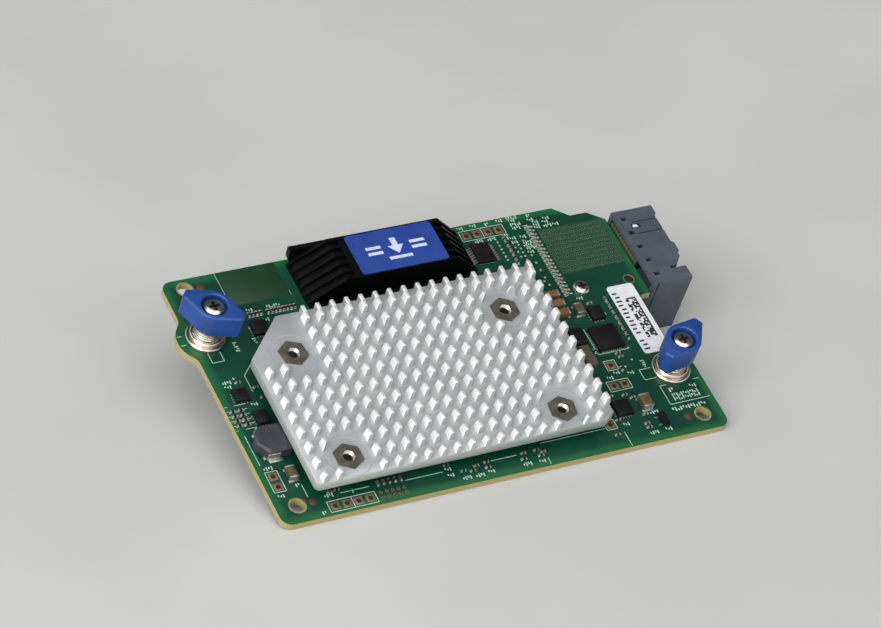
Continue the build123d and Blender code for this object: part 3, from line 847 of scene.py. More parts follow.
    def dress(self) -> None:
        """Give every CAD node its finish."""
        wear = {
            "circuit_board": self.mask,
            "heat_sink": self.aluminium,
            "heat_sink_standoffs": self.zinc,
            "heat_sink_screws": self.bright,
            "controller_package": self.substrate,
            "controller_lid": self.lid,
            "thermal_pad": self.pad,
            "press_cap": self.black,
            "press_label": self.blue_label,
            "mezzanine_plug": self.black,
            "mezzanine_contacts": self.gold,
            "midplane_housing": self.slate,
            "midplane_wafers": self.wafer,
            "connector_screw": self.bright,
            "left_ferrule": self.nickel,
            "right_ferrule": self.nickel,
            "left_screw": self.bright,
            "right_screw": self.bright,
            "left_spring": self.spring,
            "right_spring": self.spring,
            "left_knob": self.blue,
            "right_knob": self.blue,
            "power_inductor": self.ferrite,
            "inductor_tabs": self.tin,
            "leadless_chips": self.chip,
            "small_choke": self.choke,
            "memory_chip": self.chip,
            "memory_leads": self.tin,
            "transistor": self.chip,
            "transistor_leads": self.tin,
            "ceramic_capacitors": self.ceramic,
            "capacitor_ends": self.tin,
            "chip_resistors": self.chip,
            "resistor_ends": self.tin,
            "serial_label": self.paper,
        }
        for name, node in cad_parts.items():
            node.data.materials.clear()
            node.data.materials.append(wear[name])
            LOG.info("node %s wears %s", name, wear[name].name)


class Piece:
    """A new mesh piece, drawn in millimetres from the board's front left top corner."""

    TURN_STEPS: int = 24
    WELD: float = 1e-4

    def __init__(self, name: str, *finishes: bpy.types.Material) -> None:
        """Start an empty piece with its finishes.

        Args:
            name: Name of the piece.
            *finishes: Its finishes, by index.
        """
        self.name = name
        self.finishes = finishes
        self.mesh = bmesh.new()

    def _colour_new(self, before: set, finish: int) -> list[bmesh.types.BMFace]:
        """Give the faces that are new their finish.

        Args:
            before: Faces that were there already.
            finish: Index of the finish.

        Returns:
            The new faces.
        """
        made = [face for face in self.mesh.faces if face not in before]
        for face in made:
            face.material_index = finish
        return made

    def cube(self, place: Matrix, finish: int = 0) -> list[bmesh.types.BMVert]:
        """Add a unit cube, moved and stretched.

        Args:
            place: Where it goes and how it is stretched.
            finish: Index of the finish.

        Returns:
            Its corners.
        """
        verts = bmesh.ops.create_cube(self.mesh, size=1.0, matrix=place)["verts"]
        for face in {face for vert in verts for face in vert.link_faces}:
            face.material_index = finish
        return verts

    def block(self, low: Triple, high: Triple, finish: int = 0, edge: float = 0.0) -> None:
        """Add a block between two corners.

        Args:
            low: Lowest corner.
            high: Highest corner.
            finish: Index of the finish.
            edge: Width of the bevel on all edges.
        """
        middle = (Vector(low) + Vector(high)) / 2
        size = Vector(high) - Vector(low)
        verts = self.cube(Matrix.Translation(middle) @ Matrix.Diagonal((*size, 1.0)), finish)
        if edge:
            soften(self.mesh, list({line for vert in verts for line in vert.link_edges}), edge)

    def bar(
        self, start: Pair, end: Pair, width: float, low: float, high: float, finish: int = 0
    ) -> None:
        """Add a straight flat stroke.

        Args:
            start: First end of its middle line.
            end: Second end of its middle line.
            width: Width of the stroke.
            low: Height of its underside.
            high: Height of its top.
            finish: Index of the finish.
        """
        run = Vector(end) - Vector(start)
        middle = (Vector(start) + Vector(end)) / 2
        place = (
            Matrix.Translation((middle.x, middle.y, (low + high) / 2))
            @ Matrix.Rotation(math.atan2(run.y, run.x), 4, "Z")
            @ Matrix.Diagonal((run.length, width, high - low, 1.0))
        )
        self.cube(place, finish)

    def turned(
        self, centre: Pair, profile: Profile, steps: int = 40, finish: int = 0, closed: bool = False
    ) -> None:
        """Turn a profile round an upright axis.

        Args:
            centre: Place of the axis in plan.
            profile: Points of radius and height.
            steps: Steps in a full turn.
            finish: Index of the finish.
            closed: Whether the last point joins the first.
        """
        before = set(self.mesh.faces)
        verts = [self.mesh.verts.new((centre[0] + radius, centre[1], z)) for radius, z in profile]
        ends = verts[1:] + verts[:1] if closed else verts[1:]
        edges = [self.mesh.edges.new(pair) for pair in zip(verts, ends)]
        bmesh.ops.spin(
            self.mesh, geom=verts + edges, cent=(*centre, 0.0), axis=(0.0, 0.0, 1.0),
            dvec=(0.0, 0.0, 0.0), angle=2 * math.pi, steps=steps, use_merge=True,
        )
        made = self._colour_new(before, finish)
        around = list({vert for face in made for vert in face.verts})
        bmesh.ops.remove_doubles(self.mesh, verts=around, dist=self.WELD)

    def disc(self, centre: Pair, radius: float, span: Pair, steps: int = 20, finish: int = 0) -> None:
        """Add a closed flat disc.

        Args:
            centre: Its middle in plan.
            radius: Its radius.
            span: Heights of its underside and its top.
            steps: Steps in a full turn.
            finish: Index of the finish.
        """
        low, high = span
        self.turned(centre, [(0.0, high), (radius, high), (radius, low), (0.0, low)], steps, finish)

    def coil(
        self, centre: Pair, section: Profile, turns: float, pitch: float, finish: int = 0
    ) -> None:
        """Wind a closed section up round an upright axis.

        Args:
            centre: Place of the axis in plan.
            section: Points of radius and height of the first section.
            turns: Number of turns.
            pitch: Rise of a turn.
            finish: Index of the finish.
        """
        before = set(self.mesh.faces)
        steps = int(turns * self.TURN_STEPS)
        verts = [self.mesh.verts.new((centre[0] + radius, centre[1], z)) for radius, z in section]
        edges = [self.mesh.edges.new(pair) for pair in zip(verts, verts[1:] + verts[:1])]
        wound = bmesh.ops.spin(
            self.mesh, geom=verts + edges, cent=(*centre, 0.0), axis=(0.0, 0.0, 1.0),
            dvec=(0.0, 0.0, turns * pitch / steps), angle=2 * math.pi * turns, steps=steps,
            use_merge=False,
        )
        last = [item for item in wound["geom_last"] if isinstance(item, bmesh.types.BMEdge)]
        for loop in (edges, last):
            bmesh.ops.edgeloop_fill(self.mesh, edges=loop)
        self._colour_new(before, finish)

    def plate(
        self, points: Sequence[Pair], low: float, high: float, finish: int = 0
    ) -> list[bmesh.types.BMFace]:
        """Raise a flat outline to a plate.

        Args:
            points: Corners of the outline, in order.
            low: Height of its underside.
            high: Height of its top.
            finish: Index of the finish.

        Returns:
            The faces of the plate.
        """
        before = set(self.mesh.faces)
        floor = self.mesh.faces.new([self.mesh.verts.new((x, y, low)) for x, y in points])
        raised = bmesh.ops.extrude_face_region(self.mesh, geom=[floor], use_keep_orig=True)["geom"]
        verts = [item for item in raised if isinstance(item, bmesh.types.BMVert)]
        bmesh.ops.translate(self.mesh, verts=verts, vec=(0.0, 0.0, high - low))
        return self._colour_new(before, finish)

    def _rough(self) -> bpy.types.Object:
        """Give the piece as a plain object in millimetres.

        Returns:
            The new object, for which the mesh is used up.
        """
        bmesh.ops.recalc_face_normals(self.mesh, faces=self.mesh.faces[:])
        data = bpy.data.meshes.new(self.name)
        self.mesh.to_mesh(data)
        self.mesh.free()
        for finish in self.finishes:
            data.materials.append(finish)
        made = bpy.data.objects.new(self.name, data)
        bpy.context.scene.collection.objects.link(made)
        return made

    def join(self, other: "Piece") -> None:
        """Take over another piece's mesh, which has the same finishes.

        Args:
            other: The piece to take over, which is used up.
        """
        data = bpy.data.meshes.new(other.name)
        other.mesh.to_mesh(data)
        other.mesh.free()
        self.mesh.from_mesh(data)
        bpy.data.meshes.remove(data)

    def carve(self, tool: "Piece") -> None:
        """Cut another closed piece out of this one.

        Args:
            tool: The piece to cut away, which is used up.
        """
        solid = self._rough()
        cutter = tool._rough()
        cut = solid.modifiers.new("carve", "BOOLEAN")
        cut.operation = "DIFFERENCE"
        cut.solver = "EXACT"
        cut.object = cutter
        done = solid.evaluated_get(bpy.context.evaluated_depsgraph_get())
        self.mesh = bmesh.new()
        self.mesh.from_mesh(done.to_mesh())
        bmesh.ops.dissolve_degenerate(self.mesh, dist=self.WELD, edges=self.mesh.edges[:])
        done.to_mesh_clear()
        for spent in (solid, cutter):
            data = spent.data
            bpy.data.objects.remove(spent)
            bpy.data.meshes.remove(data)

    def place(
        self, slot: str, body: Body = Body.CARD, stands_for: tuple[str, ...] = (), crease: float = 32.0
    ) -> bpy.types.Object:
        """Put the finished piece on its body.

        Args:
            slot: Material slot of the record that it follows; not used.
            body: Body that it rides on.
            stands_for: CAD nodes that it replaces.
            crease: Angle in degrees past which an edge stays sharp.

        Returns:
            The finished object.
        """
        made = self._rough()
        made.data.transform(CARD.to_frame())
        made.data.shade_smooth()
        made.data.set_sharp_from_angle(angle=math.radians(crease))
        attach(made, body.value)
        if stands_for:
            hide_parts(*stands_for)
        LOG.info("piece %s: %d faces on %s", self.name, len(made.data.polygons), body.value)
        return made


@dataclass
class BoardFace:
    """Everything printed, plated or drilled on the component face."""

    palette: Palette
    ink: float = 0.02
    stroke: float = 0.16
    thin_stroke: float = 0.1
    pad: float = 1.9
    pad_h: float = 0.03
    pad_edge: float = 0.01
    drill: float = 0.52
    rim_h: float = 0.06
    hole_h: Pair = (0.022, 0.034)
    headers: tuple[Run, ...] = (
        ((11.77, 2.03), (HEADER_PITCH, 0.0), 4),
        ((68.52, 59.85), (HEADER_PITCH, 0.0), 4),
        ((2.72, 9.2), (0.0, HEADER_PITCH), 2),
        ((81.07, 15.25), (HEADER_PITCH, 0.0), 2),
        ((83.0, 20.4), *ALONE),
        ((75.5, 6.3), *ALONE),
    )
    small_holes: tuple[Run, ...] = (
        ((22.0, 1.5), (HEADER_PITCH / 2, 0.0), 5),
        ((22.0, 1.5 + HEADER_PITCH / 2), (HEADER_PITCH / 2, 0.0), 5),
    )
    small_ring: tuple[Pair, ...] = ((0.36, 0.0), (0.36, 0.04), (0.2, 0.05), (0.2, 0.0))
    small_hole: float = 0.21
    small_hole_h: Pair = (0.01, 0.045)
    tooling_in: Pair = (4.55, 4.05)
    tooling_back: float = 2.6
    tooling_ring: tuple[Pair, ...] = ((1.5, 0.0), (1.5, 0.015), (1.82, 0.015), (1.86, 0.0))
    peg_in: float = 2.8
    peg_y: float = 40.8
    peg_ring: tuple[Pair, ...] = ((1.05, 0.0), (1.05, 0.015), (1.3, 0.015), (1.34, 0.0))
    peg_dish: tuple[Pair, ...] = (
        (0.0, -0.3), (0.9, -0.3), (1.02, -0.1), (1.04, -0.1), (1.04, -0.4), (0.0, -0.4),
    )
    copper: tuple[Pair, ...] = ((7.85, 4.1), (92.8, 4.2), (7.8, 60.0))
    copper_dome: tuple[Pair, ...] = ((0.0, 0.03), (0.7, 0.03), (0.75, 0.0), (0.0, 0.0))
    copper_gap: tuple[Pair, ...] = ((0.73, 0.001), (0.73, 0.006), (1.15, 0.006), (1.15, 0.001))
    dots: tuple[Run, ...] = (
        ((83.75, 40.2), (0.0, 1.05), 19),
        ((80.2, 43.4), (0.0, 2.1), 7),
        ((78.7, 50.9), (0.0, 1.05), 6),
        ((74.5, 51.8), (0.0, 1.0), 6),
        ((77.7, 52.0), (0.0, 1.3), 4),
        ((13.4, 47.7), *ALONE),
        ((89.0, 23.9), *ALONE),
        ((88.2, 20.8), *ALONE),
        ((86.0, 19.4), *ALONE),
        ((79.6, 44.6), *ALONE),
        ((5.0, 36.4), *ALONE),
    )
    dot: tuple[Pair, ...] = ((0.0, 0.05), (0.18, 0.05), (0.29, 0.0), (0.0, 0.0))
    field_from: Pair = (84.9, 46.0)
    field_pitch: Pair = (0.95, 1.22)
    field_stagger: float = 0.18
    field_columns: int = 16
    field_rows: int = 10
    field_ring: tuple[Pair, ...] = ((0.36, 0.0), (0.33, 0.025), (0.2, 0.025), (0.2, 0.0))
    field_hole: float = 0.21
    field_hole_h: Pair = (0.005, 0.022)
    lane_from: Pair = (84.3, 45.4)
    lane_to: float = 99.75
    lane_half: float = 0.05
    lane_h: float = 0.01
    mark_width: float = 0.34
    mark_step: float = 0.62
    mark_tall: float = 0.85
    mark_spans: tuple[Pair, ...] = (
        (-0.5, 0.5), (-0.5, 0.0), (-0.5, 0.5), (0.0, 0.5), (-0.25, 0.25), (-0.5, 0.5), (-0.1, 0.5),
    )
    frames: tuple[tuple[Pair, Pair, str], ...] = (
        ((10.4, 0.75), (15.6, 3.35), "lrfb"),
        ((15.6, 0.75), (20.7, 3.35), "frb"),
        ((67.2, 58.5), (72.3, 61.2), "lrfb"),
        ((72.3, 58.5), (77.5, 61.2), "frb"),
        ((1.45, 7.95), (4.0, 13.0), "lrfb"),
        ((79.8, 13.95), (84.9, 16.55), "lrfb"),
        ((81.75, 19.15), (84.25, 21.65), "lrfb"),
        ((74.3, 5.1), (76.7, 7.5), "lrfb"),
        ((2.45, 41.0), (5.0, 43.4), "lrf"),
        ((88.35, 15.1), (91.0, 17.8), "lfb"),
        ((90.65, 7.9), (100.0, 12.85), "lf"),
        ((81.7, 23.6), (88.75, 30.6), "lf"),
        ((1.3, 14.9), (3.0, 22.4), "l"),
    )
    lines: tuple[tuple[Pair, Pair], ...] = (
        ((7.4, 32.4), (7.4, 36.5)), ((7.4, 36.5), (9.9, 39.0)), ((7.4, 5.4), (7.4, 8.6)),
        ((28.0, 4.2), (36.3, 4.2)), ((47.0, 4.2), (52.8, 4.2)), ((59.0, 5.7), (74.0, 5.7)),
        ((77.6, 0.3), (77.6, 3.9)), ((58.9, 0.4), (58.9, 2.0)), ((16.6, 4.0), (16.6, 4.7)),
        ((14.0, 4.7), (20.3, 4.7)), ((90.65, 12.85), (92.2, 12.85)), ((98.6, 12.85), (100.0, 12.85)),
        ((-2.0, 48.9), (-0.9, 48.9)), ((-2.0, 46.6), (-0.9, 46.6)), ((67.6, 51.9), (71.9, 51.9)),
    )
    upright_captions: tuple[Triple, ...] = (
        (8.75, 42.6, 46.0), (90.1, 18.2, 21.2), (13.1, 43.7, 45.7), (9.4, 46.3, 46.8),
    )
    captions: tuple[tuple[float, float, int], ...] = (
        (10.6, 4.7, 4), (8.6, 1.0, 2), (36.9, 3.0, 3), (36.9, 4.5, 3), (39.6, 1.6, 4),
        (42.5, 1.5, 4), (45.4, 1.8, 3), (53.2, 1.6, 4), (56.8, 1.5, 3), (67.3, 62.0, 3),
        (70.4, 62.1, 3), (73.9, 61.9, 2), (76.7, 62.1, 3), (79.4, 61.6, 3), (83.6, 60.9, 3),
        (86.4, 58.6, 4), (86.6, 59.7, 3), (83.9, 62.1, 2), (2.2, 35.6, 4), (2.3, 34.5, 3),
        (5.8, 29.3, 3), (1.6, 13.8, 4), (1.7, 6.9, 3), (6.2, 8.6, 2), (78.3, 5.6, 3),
        (82.9, 2.2, 4), (86.6, 2.3, 3), (82.6, 18.3, 3), (85.6, 17.6, 3), (80.6, 17.4, 3),
        (84.2, 38.4, 3), (79.9, 56.9, 3), (79.9, 55.3, 4), (79.9, 53.7, 4), (75.9, 57.3, 3),
        (16.9, 48.9, 3), (14.5, 52.0, 3), (19.0, 52.0, 6), (85.3, 7.0, 4), (79.3, 60.5, 5),
        (79.3, 59.5, 4), (79.2, 62.3, 5), (84.3, 59.3, 3), (84.4, 60.1, 3), (84.2, 58.6, 3),
        (87.2, 60.6, 3), (88.6, 58.6, 3), (77.5, 55.9, 3), (77.5, 57.0, 3), (79.6, 54.5, 4),
        (79.7, 52.6, 3), (69.6, 57.8, 4), (72.6, 57.8, 4), (76.2, 58.2, 3),
    )
    sized_captions: tuple[tuple[float, float, int, float], ...] = (
        (92.1, 11.35, 2, 1.0), (97.0, 11.35, 3, 0.9), (92.1, 10.0, 12, 0.85), (92.1, 9.0, 12, 0.85),
        (90.4, 6.55, 13, 1.0),
    )
    ticks: tuple[tuple[Run, float, float], ...] = (
        (((0.15, 23.9), (0.0, 1.2), 6), 0.6, 0.14),
        (((2.25, 23.9), (0.0, 1.2), 6), 2.35, 0.14),
        (((81.9, 39.7), (0.0, 1.05), 20), 1.05, 0.12),
    )

    def build(self) -> None:
        """Make all the pieces of the face."""
        self.header_holes()
        self.tooling_rings()
        self.copper_spots()
        self.test_dots()
        self.press_fit_field()
        self.bare_patch()
        self.silkscreen()

    def header_holes(self) -> None:
        """Square plated pads with a round rim and a dark disc of painted shade in each bore, and a group of
        small round ones with the same.
        """
        piece = Piece("header_pads", self.palette.plated, self.palette.hole_shade_and_dimple)
        half = self.pad / 2
        rim = [
            (self.drill, 0.02), (self.drill, self.rim_h),
            (self.drill + 0.12, self.rim_h), (self.drill + 0.2, self.pad_h),
        ]
        for x, y in places(self.headers):
            piece.block((x - half, y - half, 0.0), (x + half, y + half, self.pad_h), edge=self.pad_edge)
            piece.turned((x, y), rim, 20, closed=True)
            # Dark disc: painted shade in the bore.
            piece.disc((x, y), self.drill + 0.01, self.hole_h, 20, 1)
        for spot in places(self.small_holes):
            piece.turned(spot, self.small_ring, 12, closed=True)
            # Dark disc: painted shade in the small bore.
            piece.disc(spot, self.small_hole, self.small_hole_h, 12, 1)
        piece.place("gold_contact")

    def tooling_rings(self) -> None:
        """Bare laminate round the tooling holes, and the peg bore by the right edge with its ring and a
        dark dish of painted shade in it.
        """
        high = CARD.box("circuit_board")[1]
        x, y = self.tooling_in
        piece = Piece("laminate_rings", self.palette.laminate, self.palette.masked_via)
        for spot in ((x, y), (high.x - x, y), (x, high.y - self.tooling_back)):
            piece.turned(spot, self.tooling_ring, 40, closed=True)
        peg = (high.x - self.peg_in, self.peg_y)
        piece.turned(peg, self.peg_ring, 32, 1, True)
        piece.place("substrate")
        # Dark dish: painted shade in the peg bore.
        dish = Piece("peg_hole_shade", self.palette.hole_shade_and_dimple)
        dish.turned(peg, self.peg_dish, 32)
        dish.place("chip_black")

    def copper_spots(self) -> None:
        """Bare copper aiming spots, each in a ring of dark mask."""
        piece = Piece("copper_spots", self.palette.copper, self.palette.dark_mask)
        for spot in self.copper:
            piece.turned(spot, self.copper_dome, 28)
            piece.turned(spot, self.copper_gap, 28, 1, True)
        piece.place("gold_contact")

    def test_dots(self) -> None:
        """Tinned test dots."""
        piece = Piece("test_dots", self.palette.tin)
        for spot in places(self.dots):
            piece.turned(spot, self.dot, 10)
        piece.place("tin")

    def press_fit_field(self) -> None:
        """Rows of plated holes over the midplane connector's tails, each with a black disc of painted shade
        in its bore, with lanes of mask between them, and a dark strip of painted shade under the row of
        small capacitors.
        """
        piece = Piece("press_fit_holes", self.palette.masked_via, self.palette.chip)
        step_x, step_y = self.field_pitch
        for row in range(self.field_rows):
            for column in range(self.field_columns):
                x = self.field_from[0] + step_x * column
                y = self.field_from[1] + step_y * row + (self.field_stagger if column % 2 else 0.0)
                piece.turned((x, y), self.field_ring, 8, closed=True)
                # Black disc: painted shade in the bore.
                piece.disc((x, y), self.field_hole, self.field_hole_h, 8, 1)
        piece.place("gold_contact")
        lanes = Piece("press_fit_lanes_and_gap_shade", self.palette.field_mask, self.palette.dark_mask)
        x, y = self.lane_from
        lanes.block((84.35, y, 0.0), (99.7, 57.8, 0.006))
        for row in range(self.field_rows + 1):
            middle = y + step_y * row
            start = (x, middle - self.lane_half, 0.0)
            lanes.block(start, (self.lane_to, middle + self.lane_half, self.lane_h), 1)
        # Dark strip: painted shade in the gaps between the small capacitors.
        lanes.block((82.0, 39.6, 0.0), (83.4, 59.7, self.lane_h), 1)
        lanes.place("solder_mask")

    def bare_patch(self) -> None:
        """Darker patch of mask with no copper under it, near the back edge."""
        piece = Piece("bare_patch", self.palette.dark_mask, self.palette.silk)
        piece.block((12.2, 53.8, 0.0), (25.2, 62.7, 0.012), edge=0.004)
        piece.bar((11.95, 54.6), (11.95, 62.7), self.thin_stroke, 0.0, self.ink, 1)
        piece.bar((25.4, 53.9), (25.4, 55.0), self.thin_stroke, 0.0, self.ink, 1)
        piece.place("solder_mask")

    def frame_of(self, piece: Piece, low: Pair, high: Pair, sides: str) -> None:
        """Draw some sides of a rectangle in ink.

        Args:
            piece: The piece to draw on.
            low: Its front left corner.
            high: Its back right corner.
            sides: Letters of the sides to draw.
        """
        x0, y0 = low
        x1, y1 = high
        ends = {
            Edge.LEFT: ((x0, y0), (x0, y1)),
            Edge.RIGHT: ((x1, y0), (x1, y1)),
            Edge.FRONT: ((x0, y0), (x1, y0)),
            Edge.BACK: ((x0, y1), (x1, y1)),
        }
        for letter in sides:
            piece.bar(*ends[Edge(letter)], self.stroke, 0.0, self.ink)

    def marks(self, piece: Piece, spot: Pair, count: int, tall: float, up: bool = False) -> None:
        """Draw a short row of plain printed marks where a caption stands.

        Args:
            piece: The piece to draw on.
            spot: Start of the row, at half its height.
            count: Number of marks.
            tall: Height of a mark.
            up: Whether the row runs along Y.
        """
        x, y = spot
        thick = self.mark_width * tall
        for i in range(count):
            along = self.mark_step * tall * i
            low, high = (tall * end for end in self.mark_spans[(i + count) % len(self.mark_spans)])
            if up:
                piece.block((x + low, y + along, 0.0), (x + high, y + along + thick, self.ink))
            else:
                piece.block((x + along, y + low, 0.0), (x + along + thick, y + high, self.ink))

    def silkscreen(self) -> None:
        """Frames, outlines and rows of plain marks in pale ink."""
        piece = Piece("silkscreen", self.palette.silk)
        for low, high, sides in self.frames:
            self.frame_of(piece, low, high, sides)
        for start, end in self.lines:
            piece.bar(start, end, self.stroke, 0.0, self.ink)
        for x, y0, y1 in self.upright_captions:
            count = max(1, int((y1 - y0) / self.mark_step))
            self.marks(piece, (x, y0), count, self.mark_tall, True)
        for x, y, count in self.captions:
            self.marks(piece, (x, y), count, self.mark_tall)
        for x, y, count, tall in self.sized_captions:
            self.marks(piece, (x, y), count, tall)
        for run, length, width in self.ticks:
            for x, y in places((run,)):
                piece.bar((x, y), (x + length, y), width, 0.0, self.ink)
        piece.place("white_paper")


@dataclass
class HeatSink:
    """Pin-fin heat sink with softened pins, its spot-faces, its screws and the threads in its standoffs."""

    palette: Palette
    base: float = 2.3
    corner: float = 9.1
    nip: float = 0.7
    nip_x: float = 2.4
    nip_y: float = 1.5
    plate_edge: float = 0.12
    pin_w: float = 1.25
    pin_l: float = 1.7
    pin_root: float = 0.1
    lean_x: float = 0.36
    lean_y: float = 0.35
    draft: float = 0.1
    toe: float = 0.45
    tail_in: float = 0.4
    pitch_x: float = 3.22
    pitch_y: float = 3.8
    border: float = 2.0
    columns: int = 21
    rows: int = 11
    soft: float = 0.14
    crease: float = 50.0
    spot_radius: float = 4.9
    spot_rim: tuple[Pair, ...] = ((-0.22, -0.01), (-0.12, 0.03), (-0.04, 0.03), (0.0, -0.01))
    barrel_radius: float = 2.0
    overshoot: float = 1.0
    proud: float = 0.3
    bore: float = 1.3
    thread_pitch: float = 0.45
    thread_tooth: float = 0.2
    thread_turns: float = 4.3
    thread_depth: float = 2.4
    # Dark screw end in each standoff: painted shade of the bore.
    screw_end: tuple[Pair, ...] = ((0.0, 0.02), (0.8, 0.02), (1.27, -0.2), (1.27, -0.3), (0.0, -0.3))
    head_radius: float = 2.3
    shank_radius: float = 1.25
    recess_len: float = 2.6
    recess_w: float = 0.6
    recess_span: Pair = (-0.5, 0.75)

    def build(self) -> None:
        """Make the sink, the rims of its spot-faces, the threads and the screws."""
        self.low, self.high = CARD.box("heat_sink")
        low, high = CARD.box("heat_sink_screws")
        across = (low.x + self.head_radius, high.x - self.head_radius)
        along = (low.y + self.head_radius, high.y - self.head_radius)
        self.spots = [(x, y) for x in across for y in along]
        self.top = self.low.z + self.base
        sink = self.plate()
        sink.join(self.pins())
        sink.place("bare_aluminium", stands_for=("heat_sink",), crease=self.crease)
        self.rims()
        self.threads()
        self.screws()

    def bores(self, radius: float) -> Piece:
        """Make four upright cutters round the standoffs.

        Args:
            radius: Radius of each.

        Returns:
            The cutting piece.
        """
        tool = Piece("bores", self.palette.aluminium)
        low, high = self.low.z - self.overshoot, self.high.z + self.overshoot
        for spot in self.spots:
            tool.turned(spot, [(0.0, low), (radius, low), (radius, high), (0.0, high)], 56)
        return tool

    def plate(self) -> Piece:
        """Make the base plate with its cut corners and the holes for the standoffs.

        Returns:
            The plate.
        """
        x0, y0, x1, y1 = self.low.x, self.low.y, self.high.x, self.high.y
        points = [
            (x0 + self.nip, y0), (x1 - self.nip_x, y0), (x1, y0 + self.nip_y), (x1, y1),
            (x0 + self.corner, y1), (x0, y1 - self.corner), (x0, y0 + self.nip),
        ]
        piece = Piece("pin_fin_sink", self.palette.aluminium)
        piece.plate(points, self.low.z, self.top)
        rims = [e for e in piece.mesh.edges if abs(e.verts[0].co.z - e.verts[1].co.z) < 0.01]
        soften(piece.mesh, rims, self.plate_edge)
        piece.carve(self.bores(self.barrel_radius))
        return piece

    def pins(self) -> Piece:
        """Make the pins, cut round the spot-faces.

        Returns:
            All the pins as one piece.
        """
        piece = Piece("pins", self.palette.aluminium)
        for row in range(self.rows):
            y0 = self.low.y + row * self.pitch_y
            length = self.high.y - y0 if row == self.rows - 1 else self.pin_l
            for column in range(self.columns):
                x0 = self.high.x - self.pin_w - column * self.pitch_x
                if self.has_pin(x0, y0, length):
                    self.pin(piece, x0, y0, length)
        piece.carve(self.bores(self.spot_radius))
        return piece

    def has_pin(self, x0: float, y0: float, length: float) -> bool:
        """Tell whether a pin stands at a place.

        Args:
            x0: Left side of the pin.
            y0: Front side of the pin.
            length: Its length along Y.

        Returns:
            Whether it is clear of the cut corners and the spot-faces.
        """
        cut = (x0 - self.low.x) + (self.high.y - y0 - length)
        nip = (self.high.x - x0 - self.pin_w) + (y0 - self.low.y)
        middle = (x0 + self.pin_w / 2, y0 + length / 2)
        clear = all(math.dist(middle, spot) >= self.spot_radius for spot in self.spots)
        return clear and cut >= self.corner + self.border * math.sqrt(2) and nip >= self.nip_x

    def pin(self, piece: Piece, x0: float, y0: float, length: float) -> None:
        """Add one drafted pin, its left and front flanks leaning most, and a long one's upright tail.

        Args:
            piece: The piece to add to.
            x0: Left side of the pin.
            y0: Front side of the pin, without its toe.
            length: Its length along Y.
        """
        low, back = self.top - self.pin_root, y0 + self.pin_l
        front = max(y0 - self.toe, self.low.y)
        size = (self.pin_w, back - front, self.high.z - low)
        middle = Vector((x0 + self.pin_w / 2, (front + back) / 2, low + size[2] / 2))
        verts = piece.cube(Matrix.Translation(middle) @ Matrix.Diagonal((*size, 1.0)))
        heads = [vert for vert in verts if vert.co.z > middle.z]
        for vert in heads:
            vert.co.x = x0 + self.lean_x if vert.co.x < middle.x else vert.co.x - self.draft
            vert.co.y = front + self.lean_y if vert.co.y < middle.y else vert.co.y - self.draft
        soften(piece.mesh, list({edge for vert in heads for edge in vert.link_edges}), self.soft)
        if length > self.pin_l:
            tail = (x0 + self.tail_in, back - self.soft, low)
            piece.block(tail, (x0 + self.pin_w, y0 + length, self.high.z), edge=self.soft)

    def rims(self) -> None:
        """Turned edge of each spot-face."""
        piece = Piece("spot_face_rims", self.palette.aluminium)
        edge = [(self.spot_radius + out, self.top + up) for out, up in self.spot_rim]
        for spot in self.spots:
            piece.turned(spot, edge, 72, closed=True)
        piece.place("bare_aluminium")

    def threads(self) -> None:
        """Thread inside each standoff, and a dark screw end in it as painted shade of the bore."""
        piece = Piece("standoff_threads_and_end_shade", self.palette.bright, self.palette.chip)
        floor = self.top + self.proud - self.thread_depth
        half = self.thread_pitch / 2
        tooth = [(self.bore, 0.0), (self.bore - self.thread_tooth, half), (self.bore, 2 * half)]
        end = lifted(self.screw_end, CARD.box("heat_sink_screws")[1].z)
        for spot in self.spots:
            piece.coil(spot, lifted(tooth, floor), self.thread_turns, self.thread_pitch)
            # Dark screw end: painted shade in the bore.
            piece.turned(spot, end, 28, 1)
        piece.place("bright_steel")

    def screws(self) -> None:
        """Pan-head screws from below, with a cross recess each."""
        low, high = CARD.box("heat_sink_screws")
        seat = CARD.box("circuit_board")[0].z
        radius, shank = self.head_radius, self.shank_radius
        profile = [
            (0.0, low.z), (radius * 0.6, low.z + 0.03), (radius * 0.88, low.z + 0.2),
            (radius, low.z + 0.55), (radius, seat - 0.05), (radius - 0.05, seat),
            (shank, seat), (shank, high.z - 0.25), (shank - 0.25, high.z), (0.0, high.z),
        ]
        start, end = self.recess_span
        recess = (low.z + start, low.z + end)
        piece = Piece("sink_screws", self.palette.bright, self.palette.hole_shade_and_dimple)
        for spot in self.spots:
            piece.turned(spot, profile, 40)
        # Cross recesses, with painted shade on their walls.
        for spot in self.spots:
            piece.carve(cross_recess(spot, recess, self.recess_len, self.recess_w, self.palette))
        piece.place("bright_steel", stands_for=("heat_sink_screws",))


